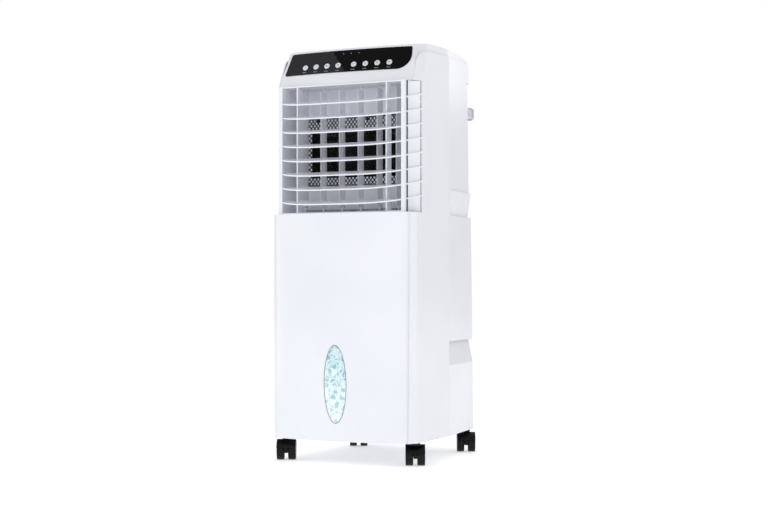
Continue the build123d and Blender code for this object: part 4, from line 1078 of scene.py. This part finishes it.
@dataclass
class WetSide:
    """Tank, pump, riser, trough, corrugated pad and the dust filter's net."""

    wave_length: float = 14.0 * MM
    wave_height: float = 3.2 * MM
    sheet_thick: float = 0.5 * MM
    sheet_clear: float = 0.25 * MM
    wave_steps: int = 8
    net_pitch: float = 3.2 * MM
    net_wire: float = 0.6 * MM
    pane_count: int = 4
    pane_pitch: float = 58.0 * MM
    pane_width: float = 50.0 * MM
    rim: float = 7.0 * MM

    def build(self) -> None:
        """Dresses the water side and makes the pad and the net."""
        dress(WHITE_ABS, "water_tank")
        dress(GREY_PP, "water_pump", "water_trough")
        dress(HOSE_PVC, "riser_tube")
        self.make_pad()
        self.make_net()

    def make_pad(self) -> None:
        """Makes the pad of glued wavy sheets, whose waves cross from sheet to sheet."""
        low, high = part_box("cooling_pad")
        room = high.z - low.z
        pitch = self.wave_height + self.sheet_thick
        count = int((room - self.sheet_thick) / pitch)
        pitch = (room - self.sheet_thick - self.wave_height) / (count - 1)
        steps = round((high.x - low.x) / self.wave_length * self.wave_steps)
        shape = Shape()
        for sheet in range(count):
            base = low.z + self.sheet_thick / 2 + self.wave_height / 2 + sheet * pitch
            phase = math.pi * (sheet % 2)
            rings = []
            for i in range(steps + 1):
                x = low.x + (high.x - low.x) * i / steps
                wave = math.sin(math.tau * (x - low.x) / self.wave_length + phase)
                z = base + wave * self.wave_height / 2
                z_low, z_high = z - self.sheet_thick / 2, z + self.sheet_thick / 2
                rings.append(
                    [
                        Vector((x, low.y, z_low)), Vector((x, high.y, z_low)),
                        Vector((x, high.y, z_high)), Vector((x, low.y, z_high)),
                    ]
                )
            shape.loft(rings)
        pad = shape.place("pad_corrugated", "filter", slot_of("cooling_pad"), PAD_PAPER)
        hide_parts("cooling_pad")

    def make_net(self) -> None:
        """Makes the dust filter: a ribbed frame with a square net in each pane."""
        low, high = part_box("dust_filter")
        centre = (low + high) / 2
        deep = high.y - low.y
        shape = Shape()
        half = self.rim / 2
        for z in (low.z + half, high.z - half):
            ends = Vector((low.x, centre.y, z)), Vector((high.x, centre.y, z))
            shape.bar(*ends, Vector((0.0, 0.0, 1.0)), self.rim, deep)
        edges = [low.x]
        for pane in range(self.pane_count):
            middle = centre.x + (pane - (self.pane_count - 1) / 2) * self.pane_pitch
            edges += [middle - self.pane_width / 2, middle + self.pane_width / 2]
        edges.append(high.x)
        for left, right in zip(edges[::2], edges[1::2]):
            x = (left + right) / 2
            ends = Vector((x, centre.y, low.z)), Vector((x, centre.y, high.z))
            shape.bar(*ends, Vector((1.0, 0.0, 0.0)), right - left, deep)
        side_x, side_z = Vector((1.0, 0.0, 0.0)), Vector((0.0, 0.0, 1.0))
        for i in range(1, int((high.x - low.x) / self.net_pitch)):
            x = low.x + i * self.net_pitch
            ends = Vector((x, centre.y, low.z + half)), Vector((x, centre.y, high.z - half))
            shape.bar(*ends, side_x, self.net_wire, self.net_wire)
        for i in range(1, int((high.z - low.z) / self.net_pitch)):
            z = low.z + i * self.net_pitch
            ends = Vector((low.x + half, centre.y, z)), Vector((high.x - half, centre.y, z))
            shape.bar(*ends, side_z, self.net_wire, self.net_wire)
        net = shape.place("dust_net", "filter", slot_of("dust_filter"), NET_NYLON)
        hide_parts("dust_filter")


@dataclass
class Casters:
    """Four twin-wheel swivel casters."""

    corners: tuple[str, ...] = ("front_left", "front_right", "rear_left", "rear_right")

    def build(self) -> None:
        """Dresses hoods, wheels, axles and stems."""
        for corner in self.corners:
            dress(BLACK_NYLON, f"caster_hood_{corner}", f"caster_wheels_{corner}")
            dress(NICKEL_STEEL, f"caster_axle_{corner}")
        dress(NICKEL_STEEL, "caster_stems")


# ---- Studio -------------------------------------------------------------------------


@dataclass(frozen=True)
class SoftLight:
    """One soft rectangular lamp, aimed at the object's middle."""

    name: str
    spot: Point
    width: float
    height: float
    watts: float

    def build(self, target: Vector) -> None:
        """Makes the lamp.

        Args:
            target: point that it faces.
        """
        data = bpy.data.lights.new(self.name, "AREA")
        data.shape = "RECTANGLE"
        data.size = self.width
        data.size_y = self.height
        data.energy = self.watts
        lamp = bpy.data.objects.new(self.name, data)
        lamp.location = self.spot
        lamp.rotation_mode = "QUATERNION"
        lamp.rotation_quaternion = (target - lamp.location).to_track_quat("-Z", "Y")
        bpy.context.scene.collection.objects.link(lamp)


@dataclass
class Studio:
    """Pale floor, pale surround, soft lamps and the camera."""

    camera_spot: Point = (1.3509, -2.7717, 0.3527)
    camera_turn: Point = (91.0466, 0.0, 25.774)
    lens: float = 70.41
    floor_half: float = 12.0
    surround: float = 0.55
    floor_glow: float = 0.5
    lamps: tuple[SoftLight, ...] = (
        SoftLight("key", (-1.2, -2.6, 2.3), 1.6, 1.6, 9.0),
        SoftLight("strip_left", (-1.9, -0.9, 0.7), 0.3, 1.8, 3.0),
        SoftLight("strip_right", (1.6, -1.7, 0.7), 0.25, 1.8, 3.0),
        SoftLight("side", (2.8, 0.2, 1.8), 1.6, 1.8, 6.0),
        SoftLight("back", (0.4, 2.8, 1.9), 1.8, 1.8, 9.0),
        SoftLight("front_fill", (0.3, -3.2, 0.9), 2.2, 1.2, 8.0),
    )

    def build(self) -> None:
        """Builds the studio in order."""
        low, high = CAD_BOX
        target = (low + high) / 2
        for lamp in self.lamps:
            lamp.build(target)
        self.make_floor()
        self.make_surround()
        self.make_camera()

    def make_floor(self) -> None:
        """Makes the floor: paper that glows a little, so that its far edge melts away."""
        data = bpy.data.meshes.new("floor")
        half = self.floor_half
        square = [(-half, -half, 0.0), (half, -half, 0.0), (half, half, 0.0), (-half, half, 0.0)]
        data.from_pydata(square, [], [(0, 1, 2, 3)])
        material = FLOOR_PAPER.material()
        shader = material.node_tree.nodes["Principled BSDF"]
        shader.inputs["Emission Color"].default_value = linear("ffffff")
        shader.inputs["Emission Strength"].default_value = self.floor_glow
        data.materials.append(material)
        floor = bpy.data.objects.new("floor", data)
        bpy.context.scene.collection.objects.link(floor)

    def make_surround(self) -> None:
        """Makes a surround that looks white and lights the object more gently."""
        world = bpy.data.worlds.new("surround")
        world.use_nodes = True
        tree = world.node_tree
        tree.nodes.clear()
        path = add_node(tree, "ShaderNodeLightPath")
        strength = add_node(
            tree, "ShaderNodeMapRange",
            values={"To Min": self.surround, "To Max": 1.0},
            links={"Value": path.outputs["Is Camera Ray"]},
        )
        glow = add_node(
            tree, "ShaderNodeBackground", values={"Color": linear("ffffff")},
            links={"Strength": strength.outputs["Result"]},
        )
        add_node(
            tree, "ShaderNodeOutputWorld", links={"Surface": glow.outputs["Background"]}
        )
        bpy.context.scene.world = world

    def make_camera(self) -> None:
        """Makes the camera and hands it to the scene."""
        data = bpy.data.cameras.new("camera")
        data.lens = self.lens
        data.sensor_width = 36.0
        camera = bpy.data.objects.new("camera", data)
        camera.location = self.camera_spot
        camera.rotation_euler = [math.radians(a) for a in self.camera_turn]
        bpy.context.scene.collection.objects.link(camera)
        bpy.context.scene.camera = camera
        bpy.context.scene.view_settings.view_transform = "Standard"


def main() -> None:
    """Builds each sub-assembly and the studio, and reports them."""
    logging.basicConfig(level=logging.INFO, format="%(name)s: %(message)s")
    for assembly in (Casing(), Outlet(), ControlPanel(), AirMover(), WetSide(), Casters()):
        assembly.build()
        LOG.info("built %s", type(assembly).__name__)
    Studio().build()


if __name__ == "__main__":
    main()
